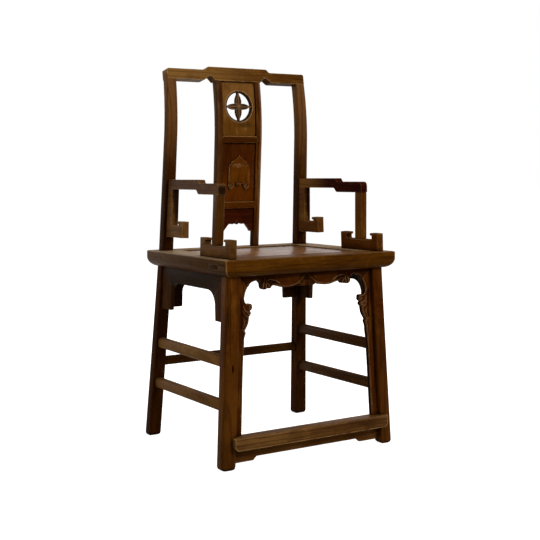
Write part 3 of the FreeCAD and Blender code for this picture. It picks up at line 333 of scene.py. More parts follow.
# Most left-hand pieces (legs, arms, arm bases, hangers, stretchers) have paler tones than their right-hand copies:
# painted light on the outer left faces, and painted shade on the right-hand pieces' inner faces and on the rear legs
# under the seat
wood("leg", "upright", ((30, 9, 1), (61, 25, 2), (86, 45, 8), (132, 87, 48), (90, 51, 12)), paling_and_sheen=LEG_PALER_BELOW)
wood("left_leg", "upright", ((36, 14, 1), (73, 35, 3), (99, 57, 12), (150, 104, 56), (98, 58, 16)), paling_and_sheen=LEG_PALER_BELOW,
     mark=((-0.2325, -0.2195, 0.256), (0.004, 0.01, 0.013), 1.0))
# The posts are painted paler towards their heads: painted light from above
wood("post", "upright", ((32, 12, 1), (54, 25, 3), (78, 42, 8), (160, 114, 68), (114, 74, 38)), (0.31, 0.17, 0.4),
     gloss=0.004, paling_and_sheen=("Z", 0.7, 0.97, 0.85))
# The ground setting darkens the sides behind each stile's face: painted shade. The left stile's paler outer band is
# painted sheen with rubbing; the right stile's is rubbing
wood("left_stile", "upright", ((40, 17, 2), (74, 38, 6), (98, 60, 20), (154, 112, 74), (94, 66, 42)),
     (0.1, 0.6, 0.2), dullness=0.34, face=STILE_FACE, ground=(1.0, 3.0, 0.3), thick=60.0,
     paling_and_sheen=("X", -0.058, -0.072, 0.45))
wood("right_stile", "upright", ((42, 17, 2), (80, 41, 7), (112, 68, 22), (150, 105, 66), (134, 96, 66)),
     (0.3, 0.4, 0.2), dullness=0.34, face=STILE_FACE, ground=(0.8, 2.2, 0.85), thick=60.0,
     paling_and_sheen=("X", 0.062, 0.071, 0.8))
# The crest is paler towards its left end
wood("crest", "across", ((54, 25, 2), (84, 48, 7), (112, 71, 24), (180, 142, 92), (143, 101, 48)),
     paling_and_sheen=("X", 0.12, -0.2, 0.7))
# The seat rails' tops are painted paler: painted sheen on the upward faces
wood("front_rail", "across", ((46, 20, 1), (82, 45, 4), (104, 65, 16), (164, 116, 66), (100, 66, 32)),
     (0.1, 0.5, 0.2), corner=0.005, ring_strength=0.25, paling_and_sheen=("Z", 0.5245, 0.5285, 0.7))
wood("side_rail", "deep", ((45, 25, 7), (72, 45, 18), (87, 59, 29), (156, 116, 74), (160, 128, 92)),
     paling_and_sheen=("Z", 0.5255, 0.5285, 0.85), mark=((-0.2605, 0.1243, 0.512), (0.01, 0.0014, 0.007), 0.9))
wood("back_rail", "across", ((42, 23, 6), (70, 43, 15), (90, 61, 28), (156, 114, 70), (140, 108, 70)),
     (0.4, 0.8, 0.3), paling_and_sheen=("Z", 0.5255, 0.5285, 0.85))
wood("dark_rail", "across", ((26, 10, 2), (48, 23, 4), (62, 35, 9), (112, 80, 46)), (0.4, 0.8, 0.3))
wood("rear_stretcher", "across", ((36, 16, 2), (67, 36, 6), (86, 53, 14), (120, 84, 50)))
wood("seat_board", "across", ((76, 41, 11), (112, 68, 28), (136, 91, 44), (158, 115, 70)), gloss=0.11, coat=0.08,
     dullness=0.3)
# The left arm's mark is a dark patch on the front of its nose
wood("left_arm", "deep", ((52, 30, 11), (78, 47, 22), (96, 63, 33), (160, 120, 80)), (0.2, 0.3, 0.1),
     mark=((-0.222, -0.157, 0.7), (0.03, 0.007, 0.026), 0.95))
wood("left_arm_post", "upright", ((49, 25, 4), (78, 44, 9), (96, 60, 17), (160, 116, 70)), (0.5, 0.1, 0.3))
# The arm bases' wider hollow reach darkens the recesses in their hooks: painted shade
wood("left_base", "deep", ((62, 34, 9), (98, 63, 26), (120, 81, 39), (168, 126, 78)), (0.5, 0.6, 0.3), hollow=0.03)
# Darker than the left arm: painted shade on its inner face. Paler towards its back end
wood("right_arm", "deep", ((24, 3, 1), (46, 9, 2), (62, 20, 4), (130, 76, 42), (124, 80, 32)), (0.2, 0.3, 0.1),
     gloss=0.004, paling_and_sheen=("Y", -0.02, 0.12, 0.9))
wood("right_arm_post", "upright", ((50, 22, 1), (87, 46, 5), (108, 66, 14), (150, 103, 58)), (0.5, 0.1, 0.3))
wood("right_base", "deep", ((49, 20, 2), (86, 44, 5), (108, 66, 15), (170, 124, 78)), (0.5, 0.6, 0.3), gloss=0.004,
     corner=0.005, hollow=0.03)
# The hangers' marks darken the upright strip under each arm: painted shadow of the arm, with a dark stain
wood("left_hanger", "deep", ((64, 36, 11), (100, 65, 29), (122, 84, 44), (168, 126, 78)), (0.5, 0.6, 0.3),
     mark=((-0.209, 0.119, 0.664), (0.0175, 0.03, 0.09), 1.0))
wood("right_hanger", "deep", ((54, 26, 6), (94, 56, 19), (116, 80, 31), (156, 108, 62)), (0.5, 0.6, 0.3),
     gloss=0.004, mark=((0.2245, 0.119, 0.664), (0.0175, 0.03, 0.09), 1.0))
# The flower board is paler towards its top
wood("flower_board", "upright", ((67, 33, 3), (101, 62, 16), (130, 88, 38), (188, 146, 100), (134, 90, 40)),
     ring_strength=0.15, face=BOARD_FACE, high=(-0.4, -1.5, 0.75), ground=(0.3, 1.3, 0.8), thick=10.0,
     paling_and_sheen=("Z", 0.87, 0.97, 0.6), mark=((0.018, 0.152, 0.878), (0.036, 0.03, 0.012), 0.6))
# The rim's dark tones paint the shade inside the opening, with a dark stain there
wood("rim", "upright", ((16, 8, 3), (30, 15, 6), (44, 25, 11), (96, 66, 44)), gloss=0.004)
wood("petal", "upright", ((44, 24, 11), (86, 58, 35), (108, 76, 48), (164, 126, 90)), (0.4, 0.3, 0.9), gloss=0.004,
     face=BOARD_FACE, high=(0.2, -0.8, 0.45), ground=(0.1, 1.6, 0.8), thick=40.0)
# The short hollow reach paints a thin shadow round the tablet. The board is paler towards its foot
wood("tablet_board", "upright", ((37, 12, 1), (67, 28, 1), (90, 46, 6), (160, 112, 62), (102, 50, 4)),
     ring_strength=0.1, hollow=0.007, paling_and_sheen=("Z", 0.77, 0.70, 0.6))
wood("tablet", "upright", ((50, 20, 1), (92, 47, 3), (110, 62, 8), (196, 148, 98)), ring_strength=0.1,
     hollow=0.006, face=TABLET_FACE, ground=(0.5, 1.8, 0.8), thick=8.0)
wood("splat_apron", "across", ((33, 8, 1), (64, 22, 4), (86, 37, 8), (146, 92, 54)))
# The splat rails' top front edges are painted paler: painted highlight
wood("upper_rail", "across", ((40, 15, 1), (70, 34, 2), (90, 50, 6), (184, 138, 86), (150, 106, 58)),
     (0.2, 0.2, 0.7), corner=0.004, paling_and_sheen=("Z", 0.843, 0.8448, 0.7))
wood("lower_rail", "across", ((44, 16, 1), (78, 37, 2), (98, 54, 6), (184, 138, 86), (150, 102, 54)),
     (0.2, 0.2, 0.7), corner=0.004, paling_and_sheen=("Z", 0.657, 0.6588, 0.6))
wood("carved_apron", "across", CARVED, corner=0.0012, face=SURROUND_FACE, high=(0.5, 0.0, 0.36))
wood("carved_strip", "upright", CARVED, corner=0.0012, face=SURROUND_FACE, high=(0.5, 0.0, 0.34))
wood("side_apron", "deep", ((23, 11, 4), (38, 22, 9), (50, 31, 13), (118, 80, 52)), (0.9, 0.2, 0.3))
wood("bracket", "upright", ((38, 18, 6), (62, 36, 15), (80, 51, 25), (130, 94, 62)), (0.3, 0.9, 0.3), gloss=0.004)
wood("left_stretcher", "deep", ((67, 40, 15), (107, 72, 34), (130, 91, 47), (174, 134, 88)), (0.6, 0.4, 0.1),
     ring_strength=0.5)
wood("right_stretcher", "deep", ((40, 20, 6), (71, 42, 15), (86, 55, 23), (140, 102, 62)), (0.6, 0.4, 0.1),
     ring_strength=0.5)
wood("footrest", "across", ((50, 25, 6), (95, 61, 27), (118, 81, 40), (168, 128, 84)), (0.6, 0.4, 0.1), rings=30.0,
     ring_strength=0.5, corner=0.006)
wood("footrest_apron", "across", ((54, 25, 6), (102, 62, 22), (126, 84, 38), (170, 126, 82)))
wood("end_grain", "deep", ((38, 24, 9), (54, 35, 15), (64, 44, 22), (88, 62, 36)), rings=120.0, gloss=0.004)


# Making pieces

SHARP_TURN = math.radians(38)
EASED_TURN = math.radians(32)


def as_data(mesh, name):
    """A shape as mesh data, which an object can hold."""
    data = bpy.data.meshes.new(name)
    mesh.to_mesh(data)
    mesh.free()
    return data


def placed(name, data):
    """A new object in the scene."""
    thing = bpy.data.objects.new(name, data)
    bpy.context.scene.collection.objects.link(thing)
    return thing


def move(mesh, *way):
    """Moves a whole shape."""
    bmesh.ops.translate(mesh, verts=mesh.verts, vec=way)


def turn_round(mesh, angle, axis):
    """Turns a whole shape round one of the three directions."""
    bmesh.ops.rotate(mesh, verts=mesh.verts, cent=(0, 0, 0), matrix=Matrix.Rotation(angle, 3, axis))


def facing_out(mesh):
    """Lets all faces of a shape look outwards."""
    bmesh.ops.recalc_face_normals(mesh, faces=mesh.faces)


def finished(name, mesh, like, wood_name, softness=0.0, steps=3):
    """Turns a mesh into a piece that stands for a solid, with its corners eased by softness in millimetres."""
    data = as_data(mesh, name)
    piece = placed(name, data)
    data.materials.append(woods[wood_name])
    for face in data.polygons:
        face.use_smooth = True
    if softness:
        eased = piece.modifiers.new("eased_corners", "BEVEL")
        eased.width = softness * MM
        eased.segments = steps
        eased.limit_method = "ANGLE"
        eased.angle_limit = EASED_TURN
        eased.harden_normals = True
    else:
        data.set_sharp_from_angle(angle=SHARP_TURN)
    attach(piece, "root")
    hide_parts(like)


def solid_shape(name):
    """The mesh of one solid with its loose triangles joined and its flat faces whole."""
    mesh = bmesh.new()
    mesh.from_mesh(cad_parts[name].data)
    bmesh.ops.remove_doubles(mesh, verts=mesh.verts, dist=0.00002)
    bmesh.ops.dissolve_limit(mesh, angle_limit=math.radians(0.6), verts=mesh.verts, edges=mesh.edges,
                             use_dissolve_boundaries=False)
    return mesh


def cut_board(outlines, thickness):
    """A board cut to smooth outlines, in millimetres. Its front is at depth nought. An outline is a list of
    (across, up) places that the saw runs through smoothly, or (across, up, "corner") where it turns sharply."""
    curve = bpy.data.curves.new("saw_line", "CURVE")
    curve.dimensions = "2D"
    curve.fill_mode = "BOTH"
    curve.extrude = thickness / 2
    curve.resolution_u = 6
    for outline in outlines:
        line = curve.splines.new("BEZIER")
        line.bezier_points.add(len(outline) - 1)
        line.use_cyclic_u = True
        for point, (across, up, *corner) in zip(line.bezier_points, outline):
            point.co = (across, up, 0.0)
            point.handle_left_type = point.handle_right_type = "VECTOR" if corner else "AUTO"
    holder = placed("saw_line", curve)
    bpy.context.view_layer.update()
    data = bpy.data.meshes.new_from_object(holder)
    bpy.data.objects.remove(holder)
    mesh = bmesh.new()
    mesh.from_mesh(data)
    bmesh.ops.remove_doubles(mesh, verts=mesh.verts, dist=0.01)
    turn_round(mesh, QUARTER_TURN, "X")
    move(mesh, 0, thickness / 2, 0)
    facing_out(mesh)
    return mesh


def both_halves(half):
    """A whole outline from its right half, which runs from the middle of the top round to the middle of the foot."""
    mirrored = [(-point[0], *point[1:]) for point in reversed(half) if abs(point[0]) > 0.01]
    return [*half, *mirrored]


def chiselled(line):
    """A line of the chisel through a few places, with its turns rounded."""
    for _ in range(2):
        middle = []
        for (x, z), (to_x, to_z) in zip(line, line[1:]):
            middle += [((1.0 - share) * x + share * to_x, (1.0 - share) * z + share * to_z) for share in (0.25, 0.75)]
        line = [line[0], *middle, line[-1]]
    return line


def away_from(line, x, z):
    """How far a place is from a line."""
    nearest = 1e9
    for (ax, az), (bx, bz) in zip(line, line[1:]):
        run_x, run_z = bx - ax, bz - az
        share = ((x - ax) * run_x + (z - az) * run_z) / max(run_x * run_x + run_z * run_z, 1e-9)
        share = min(1.0, max(0.0, share))
        nearest = min(nearest, math.hypot(x - ax - share * run_x, z - az - share * run_z))
    return nearest


def carving(ground, strokes):
    """Gives a function for the depth of a carving at a place. Beads are left standing and grooves and hollows are
    cut, over ground that is taken down by a depth, or by a function that gives the depth."""
    cuts = []
    for kind, width, height, line in strokes:
        line = chiselled(line)
        across, up = zip(*line)
        box = (min(across) - width, max(across) + width, min(up) - width, max(up) + width)
        cuts.append((kind, width, height, line, box))

    def depth(x, z):
        up, down = 0.0, 0.0
        for kind, width, height, line, (left, right, low, high) in cuts:
            if left < x < right and low < z < high:
                away = min(1.0, away_from(line, x, z) / width)
                if kind == "bead":
                    up = max(up, height * math.sqrt(1.0 - away * away))
                elif kind == "groove":
                    down = max(down, height * (1.0 - away))
                else:
                    down = max(down, height * (0.5 + 0.5 * math.cos(math.pi * away)))
        return max(0.0, (ground(x, z) if callable(ground) else ground) + down - up)

    return depth


ON_FACE = 0.01
MARGIN = 2.0


def far_side(sheet):
    """Draws a sheet out into a solid, and gives the corners of its far side, which still lie on the sheet."""
    grown = bmesh.ops.extrude_face_region(sheet, geom=sheet.faces[:])
    return [item for item in grown["geom"] if isinstance(item, bmesh.types.BMVert)]


def front_outline(board):
    """Finds the nearest place on the outline of a board's front."""
    places = []
    for edge in board.edges:
        first, second = (vert.co for vert in edge.verts)
        on_front = abs(first.y) < ON_FACE and abs(second.y) < ON_FACE
        if on_front and any(abs(face.normal.y) < 0.5 for face in edge.link_faces):
            places += [first.lerp(second, step / 4) for step in range(4)]
    finder = KDTree(len(places))
    for number, place in enumerate(places):
        finder.insert(place, number)
    finder.balance()
    return finder


def carved(board, ground, strokes, pitch, edge_round=1.2, mirrored=True):
    """Takes the front of a board down to a carving. Where it is mirrored, both halves have the same strokes."""
    depth_at = carving(ground, strokes)
    front = [vert.co for vert in board.verts if abs(vert.co.y) < ON_FACE]
    outline = front_outline(board)
    left, right = min(co.x for co in front) - MARGIN, max(co.x for co in front) + MARGIN
    low, high = min(co.z for co in front) - MARGIN, max(co.z for co in front) + MARGIN
    back = max(vert.co.y for vert in board.verts) + 1.5 * MARGIN
    surface = bmesh.new()
    bmesh.ops.create_grid(surface, x_segments=round((right - left) / pitch), y_segments=round((high - low) / pitch),
                          size=0.5)
    for vert in surface.verts:
        x = left + (vert.co.x + 0.5) * (right - left)
        z = low + (vert.co.y + 0.5) * (high - low)
        depth = depth_at(abs(x) if mirrored else x, z)
        away = outline.find((x, 0.0, z))[2]
        if away < edge_round:
            depth += edge_round - math.sqrt(edge_round ** 2 - (edge_round - away) ** 2)
        vert.co = Vector((x, depth, z))
    for vert in far_side(surface):
        vert.co.y = back
    facing_out(surface)
    return common_part(board, surface)


def common_part(first, second):
    """What two closed shapes have in common."""
    holders = [placed("blank", as_data(mesh, "blank")) for mesh in (first, second)]
    shared = holders[0].modifiers.new("shared", "BOOLEAN")
    shared.operation = "INTERSECT"
    shared.solver = "EXACT"
    shared.object = holders[1]
    bpy.context.view_layer.update()
    data = bpy.data.meshes.new_from_object(holders[0].evaluated_get(bpy.context.evaluated_depsgraph_get()))
    for holder in holders:
        bpy.data.objects.remove(holder)
    mesh = bmesh.new()
    mesh.from_mesh(data)
    bmesh.ops.remove_doubles(mesh, verts=mesh.verts, dist=0.005)
    return mesh


def stand(mesh, x, y, z, lean_share):
    """Puts a shape that was made in millimetres in its place, leaning back by a share of its rise."""
    place = Matrix.Translation((x, y, z)) @ Matrix.Rotation(-math.atan(lean_share), 4, "X")
    bmesh.ops.transform(mesh, verts=mesh.verts, matrix=Matrix.Scale(MM, 4) @ place)
    return mesh


def back_y(z):
    """The middle of the back in depth: it leans forward from the seat and then bends away."""
    bend = max(0.0, z - BEND_START) ** 2 / (2.0 * BEND_RADIUS)
    return BACK_AT_SEAT + BACK_LEAN * (z - SEAT_TOP) + bend


def cut_level(mesh, place, way):
    """Cuts all faces of a shape where a plane crosses them, and keeps both sides."""
    bmesh.ops.bisect_plane(mesh, geom=[*mesh.verts, *mesh.edges, *mesh.faces], plane_co=place, plane_no=way)


# Carved front surround: places run out from the middle of the chair and down from the seat

APRON_HALF = [
    (0, 0, "corner"), (207.75, 0, "corner"), (178.5, -29.5, "corner"), (176, -28), (168.9, -19.5), (160, -15.5),
    (151, -14.3), (144, -17.5), (140, -23, "corner"), (138.3, -33), (134, -37), (125.5, -38), (119, -35, "corner"),
    (114, -36.3), (109, -34.8), (106, -30.5), (101, -29, "corner"), (86, -32.4), (77, -35), (62, -36.5),
    (47, -35.6), (34, -33), (28, -29.5, "corner"), (24.1, -34), (12, -36), (0, -37),
]
APRON_STROKES = [
    ("bead", 1.4, 1.7, [(99, -26), (92, -29), (80, -32), (66, -34), (55, -34), (41, -31.8), (31, -28.5),
        (22.5, -23.5), (14, -16), (7, -8), (5, -4)]),
    ("groove", 1.6, 0.9, [(98, -22), (88, -25.5), (72, -29.5), (56, -30), (42, -27.5), (30, -22), (20, -14),
        (13, -6)]),
    ("hollow", 13.0, 0.9, [(0, -16), (0, -34)]),
    ("hollow", 7.0, 0.8, [(12, -24), (22, -31)]),
    ("bead", 1.8, 2.3, [(0, -24), (0, -34)]),
    ("bead", 1.7, 2.2, [(3, -24), (8.2, -33.5)]),
    ("bead", 1.6, 2.1, [(6, -23), (16, -31.8)]),
    ("bead", 1.4, 1.8, [(9, -21.5), (22.5, -29.5)]),
    ("hollow", 9.0, 1.3, [(132, -14), (112, -20), (98, -22)]),
    ("bead", 1.4, 2.3, [(84, -24), (91, -19), (100, -16), (112, -13.5), (121, -15), (124, -20), (120, -24),
        (116, -22)]),
    ("bead", 1.6, 2.3, [(126, -9), (129, -17), (132, -26), (133, -34)]),
    ("bead", 1.5, 2.2, [(122, -22), (124, -29), (125, -35)]),
    ("bead", 1.4, 2.1, [(117, -24), (115, -29), (113.5, -33)]),
    ("bead", 1.4, 2.0, [(112, -20), (106, -24.5), (101.5, -26)]),
    ("groove", 1.3, 1.2, [(126, -18), (128, -26), (129, -35)]),
    ("groove", 1.3, 1.2, [(119.5, -25), (119.5, -30), (119, -34)]),
    ("groove", 1.3, 1.0, [(113, -23), (110, -28), (107, -30)]),
    ("bead", 1.2, 1.5, [(142.5, -18), (146, -13), (151, -10.8), (160, -11.6), (169, -15.6), (176, -22),
        (181, -28)]),
]
STRIP = [
    (207.75, 0, "corner"), (178.5, -29.5, "corner"), (183.5, -38.9), (187.1, -50.1), (188, -60.2), (184.5, -68.5),
    (178, -71.2, "corner"), (173, -70.5), (168, -72), (165.8, -78), (167.3, -85.5), (172.5, -88.8, "corner"),
    (169.8, -93), (171, -98.5), (175.2, -103.5, "corner"), (176.2, -112), (179, -122), (184, -131),
    (188.6, -138, "corner"), (186, -144), (188, -150), (190.5, -158), (191, -168), (193.7, -188.9), (205, -401),
    (205.4, -403.5, "corner"), (229.9, -403.5, "corner"),
]
STRIP_STROKES = [
    ("bead", 1.3, 1.6, [(181, -30), (186, -38), (189.8, -50), (190.6, -60), (187, -69), (180, -73), (172, -73.2),
        (168.2, -77), (169.5, -83), (174, -84), (176, -79.5), (173, -77.5)]),
    ("groove", 1.3, 1.2, [(178, -76), (180, -81), (177, -87), (173, -88)]),
    ("bead", 1.4, 1.7, [(192, -76), (189, -86), (182, -91), (174.5, -92), (172.2, -96), (175.5, -99.5),
        (179, -96.5)]),
    ("bead", 1.3, 1.6, [(194, -88), (189, -98), (182, -102), (178, -106), (179, -114), (182, -122), (187, -130),
        (192, -137)]),
    ("groove", 1.5, 1.4, [(192, -94), (188, -103), (184, -110), (186, -120), (191, -130)]),
    ("bead", 1.2, 1.4, [(195, -104), (190, -112), (190, -121), (194, -130)]),
    ("bead", 1.2, 1.6, [(197, -134), (192, -140), (189, -145), (191.5, -151), (194, -160), (194, -170)]),
    ("groove", 1.4, 1.2, [(197, -142), (194, -148), (197, -158), (197.5, -170)]),
    ("hollow", 7.0, 1.2, [(199, -60), (196, -84), (197, -110), (199, -132)]),
    ("bead", 1.2, 1.1, [(193.6, -168), (196.2, -189), (201.7, -290), (207.6, -401)]),
]


def apron_ground(x, z):
    """The face of the apron: sunk a little, and swelling in the middle of each lobe."""
    swell = max(0.0, 1.0 - ((x - 60.0) / 42.0) ** 2) * max(0.0, 1.0 - ((z + 17.0) / 18.0) ** 2)
    return 2.0 - 1.3 * swell


def make_front_surround():
    """The carved apron under the seat and the two long strips beside the front legs."""
    board = cut_board([both_halves(APRON_HALF)], SURROUND_THICKNESS)
    apron = carved(board, apron_ground, APRON_STROKES, pitch=0.7)
    stand(apron, *SURROUND_PLACE, SURROUND_LEAN)
    finished("front_apron_carved", apron, "front_apron", "carved_apron")
    for name, side in (("left", -1), ("right", 1)):
        board = cut_board([[(side * point[0], *point[1:]) for point in STRIP]], SURROUND_THICKNESS)
        strip = carved(board, 1.2, STRIP_STROKES, pitch=0.8)
        stand(strip, *SURROUND_PLACE, SURROUND_LEAN)
        finished(f"front_{name}_strip_carved", strip, f"front_{name}_strip", "carved_strip")


# Splat: the flower board, the two mitred rails, the tablet and the foot apron

def bend_with_splat(mesh):
    """Lets a flat board or bead follow the bend of the splat."""
    for level in range(850, 1000, 12):
        cut_level(mesh, (0, 0, level), (0, 0, 1))
    for vert in mesh.verts:
        vert.co.y += back_y(vert.co.z) - SPLAT_FORWARD
    return stand(mesh, 0, 0, 0, 0)


def joined(meshes):
    """Several shapes as one mesh."""
    whole = bmesh.new()
    for mesh in meshes:
        data = as_data(mesh, "blank")
        whole.from_mesh(data)
        bpy.data.meshes.remove(data)
    return whole


FLOWER_HUB = 928.5


def turned_ring(profile):
    """A ring or a boss, alike at front and back, turned round the flower's hub from (radius, rise) places."""
    ring = bmesh.new()
    places = [ring.verts.new((0.0, -rise, FLOWER_HUB + radius)) for radius, rise in profile]
    places += [ring.verts.new((0.0, rise, FLOWER_HUB + radius)) for radius, rise in reversed(profile)]
    is_boss = profile[0][0] == 0.0
    for first, second in zip(places, places[1:] if is_boss else [*places[1:], places[0]]):
        ring.edges.new((first, second))
    bmesh.ops.spin(ring, geom=[*ring.verts, *ring.edges], cent=(0, 0, FLOWER_HUB), axis=(0, 1, 0),
                   angle=4 * QUARTER_TURN, steps=72, use_merge=True)
    bmesh.ops.remove_doubles(ring, verts=ring.verts, dist=0.0001)
    facing_out(ring)
    return ring


PETAL_LENGTH = 41.0
PETAL_FRONT = 5.8
PETAL_BED = 2.2
PETAL_HALF_WIDTHS = [
    (0, 7.6), (8, 8.3), (13, 8.6), (17, 8.4), (22, 7.3), (26.5, 5.7), (31, 3.5), (34.5, 1.9), (PETAL_LENGTH, 1.5),
]


def make_flower_board():
    """The top board with a bead round its opening, the dark rim inside the bead, whose dark wood paints the shade
    there along with a dark stain, and the four petals.
    """
    foot, head, half_width, thickness, opening = 842.5, 1003.5, 57.0, 10.0, 39.3
    bead_in, bead_out = opening + 3.5, opening + 6.3
    board_edge = [(-half_width, foot, "corner"), (half_width, foot, "corner"), (half_width, head, "corner"),
                  (-half_width, head, "corner")]
    circle = [(bead_out * math.sin(turn), FLOWER_HUB + bead_out * math.cos(turn))
              for turn in (math.radians(30 * step) for step in range(12))]
    board = cut_board([board_edge, circle], thickness)
    move(board, 0, -thickness / 2, 0)
    bead = turned_ring([
        (bead_in, 3.0), (bead_in + 0.2, 6.0), (bead_in + 0.9, 6.9), (bead_in + 1.7, 7.1), (bead_in + 2.5, 6.5),
        (bead_in + 2.9, 5.0), (bead_out + 0.6, 3.4),
    ])
    finished("flower_board", bend_with_splat(joined([board, bead])), "splat_top_panel", "flower_board")
    rim = turned_ring([
        (opening, 3.0), (opening + 0.1, 5.2), (opening + 0.7, 5.9), (opening + 1.5, 5.7), (bead_in, 4.8),
        (bead_in + 0.5, 3.0),
    ])
    finished("flower_rim", bend_with_splat(rim), "splat_top_panel", "rim")
    boss = turned_ring([(0.0, 7.3), (2.5, 7.1), (4.6, 6.4), (6.0, 5.0), (6.2, 3.0)])
    petals = joined([boss, *(make_petal(quarter) for quarter in range(4))])
    finished("flower_petals", bend_with_splat(petals), "splat_top_panel", "petal")


def petal_half_width(along):
    """Half the width of a petal at a distance from the hub."""
    for (low, at_low), (high, at_high) in zip(PETAL_HALF_WIDTHS, PETAL_HALF_WIDTHS[1:]):
        if along <= high:
            return at_low + (at_high - at_low) * (along - low) / (high - low)
    return PETAL_HALF_WIDTHS[-1][1]


def make_petal(quarter):
    """One leaf-shaped petal with a sunk bed on each side of its middle vein."""
    petal = bmesh.new()
    bmesh.ops.create_grid(petal, x_segments=12, y_segments=24, size=0.5)
    for vert in petal.verts:
        across, along = 2.0 * vert.co.x, PETAL_LENGTH * (vert.co.y + 0.5)
        half_width = petal_half_width(along)
        bed = PETAL_BED * math.sin(math.pi * abs(across)) ** 2 * min(1.0, half_width / 6.0)
        vert.co = Vector((across * half_width, bed - PETAL_FRONT, along))
    for vert in far_side(petal):
        vert.co.y = -vert.co.y
    bmesh.ops.remove_doubles(petal, verts=petal.verts, dist=0.001)
    facing_out(petal)
    turn_round(petal, quarter * QUARTER_TURN, "Y")
    move(petal, 0, 0, FLOWER_HUB)
    return petal


def on_splat(mesh, forward, level):
    """Moves a shape forward and stands it on the splat at a level, leaning as the splat does."""
    move(mesh, 0, -forward, 0)
    return stand(mesh, 0, back_y(level) - SPLAT_FORWARD, level, BACK_LEAN)


def make_splat_rail(name, level, wood_name):
    """A rail of the splat, with pointed ends that are let into the stiles' faces."""
    tip, shoulder, half_height, thickness = 63.0, 53.0, 10.0, 21.5
    outline = [(-tip, 0.0), (-shoulder, -half_height), (shoulder, -half_height), (tip, 0.0),
               (shoulder, half_height), (-shoulder, half_height)]
    rail = cut_board([[(x, z, "corner") for x, z in outline]], thickness)
    finished(f"{name}_mitred", on_splat(rail, 12.0, level), name, wood_name, 2.4)


TABLET_HALF = [
    (0, 97.5, "corner"), (3, 92.5), (8, 87.8), (15, 83.4), (22, 79.2), (26.5, 75.6), (26.3, 71, "corner"),
    (29.8, 70), (33, 65.5), (33.5, 58, "corner"), (33.5, 11.7, "corner"), (32.3, 4.4), (28.2, 0.4), (22, 1.2),
    (17, 5.6), (15.2, 12.5, "corner"), (12.5, 16.2), (8.5, 14.8), (6, 11), (3.5, 9), (0, 10.8),
]
TABLET_STROKES = [
    ("groove", 1.8, 2.6, [(26, 7), (24.2, 9.5), (26, 12.5), (29, 12), (30, 8), (27, 4.5), (23, 4.6), (20, 8),
        (20.2, 12.6), (23, 16.2)]),
    ("groove", 1.9, 2.6, [(1, 18), (5, 18.8), (8, 16.6), (12, 18.4), (15.5, 20.5)]),
    ("groove", 1.5, 1.6, [(0, 71.5), (6, 71.8), (9.5, 70)]),
    ("groove", 1.4, 1.4, [(0, 67), (5, 67.2), (8.6, 66)]),
    ("groove", 1.3, 1.2, [(0, 62.5), (4.5, 62.7), (7.5, 62)]),
    ("groove", 1.6, 2.2, [(25.5, 71), (21.5, 68.4), (17, 69.8), (15.4, 67), (17.4, 64.6), (20, 65.6)]),
    ("groove", 1.4, 1.6, [(13, 72.6), (11, 69.6), (13, 67.2)]),
]


def make_tablet():
    """The middle board, planed flat, and the carved tablet that stands out of it."""
    panel = solid_shape("splat_middle_panel")
    shaving = 0.02 * MM
    bmesh.ops.bisect_plane(panel, geom=[*panel.verts, *panel.edges, *panel.faces], dist=0.0000001,
                           plane_co=(0, BOARD_FACE[0] + shaving, SEAT_TOP * MM), plane_no=(0, -1, BACK_LEAN),
                           clear_outer=True)
    bmesh.ops.holes_fill(panel, edges=[edge for edge in panel.edges if edge.is_boundary], sides=0)
    finished("splat_middle_board", panel, "splat_middle_panel", "tablet_board")
    foot, thickness = 696.0, 6.0
    blank = cut_board([both_halves(TABLET_HALF)], thickness)
    tablet = carved(blank, 0.0, TABLET_STROKES, pitch=0.8, edge_round=1.8)
    finished("splat_tablet", on_splat(tablet, 10.0, foot), "splat_middle_panel", "tablet")


FOOT_APRON_HALF = [
    (0, 73.5, "corner"), (57, 73.5, "corner"), (57, 0, "corner"), (43, 0, "corner"), (40, 6), (35, 12), (30, 18.4),
    (26, 21.7), (20, 22), (14, 21.4), (9, 23.4), (5, 24.6, "corner"), (3.2, 21.6), (0, 20.3),
]
FOOT_APRON_STROKES = [
    ("groove", 1.6, 1.6, [(-4, 25), (-2.5, 31), (1.5, 36)]),
    ("groove", 1.5, 1.6, [(4.5, 26), (2, 31), (-0.5, 33.5)]),
    ("bead", 1.5, 0.8, [(0, 23), (0.5, 29), (2.6, 35)]),
    ("groove", 1.3, 0.9, [(44, 5), (38, 13), (31, 22), (26, 25.2), (14, 25), (8, 27)]),
]


def make_foot_apron():
    """The apron at the foot of the splat, with its small curl."""
    foot, thickness = 574.0, 10.0
    blank = cut_board([both_halves(FOOT_APRON_HALF)], thickness)
    apron = carved(blank, 0.0, FOOT_APRON_STROKES, pitch=0.9, mirrored=False)
    finished("splat_foot_apron", on_splat(apron, thickness / 2, foot), "splat_bottom_apron", "splat_apron")


# Crest rail

CREST_HALF = [
    (0, 37.85, "corner"), (88, 37.85, "corner"), (93.5, 37.6), (97, 35.8), (101.5, 30.6), (106.5, 28.5),
    (112, 28.5, "corner"), (216.5, 28.5, "corner"), (220.2, 27), (221.5, 23.5, "corner"), (221.5, 0, "corner"),
    (110.5, 0, "corner"), (107.5, 0.8), (102, 5), (96.5, 9.6), (91, 12.2), (84.5, 11.6), (78.5, 6),
    (73.5, 0, "corner"), (0, 0, "corner"),
]


def make_crest():
    """The stepped crest rail, which leans back as the posts' heads do."""
    thickness, front, foot, lean = 31.0, 140.47, 999.5, 0.1676
    crest = stand(cut_board([both_halves(CREST_HALF)], thickness), 0, front, foot, lean)
    finished("crest", crest, "crest_rail", "crest", 3.2, steps=4)


# Arms: each lies in a plane that leans and turns inwards; places run back from the pivot and up from the seat

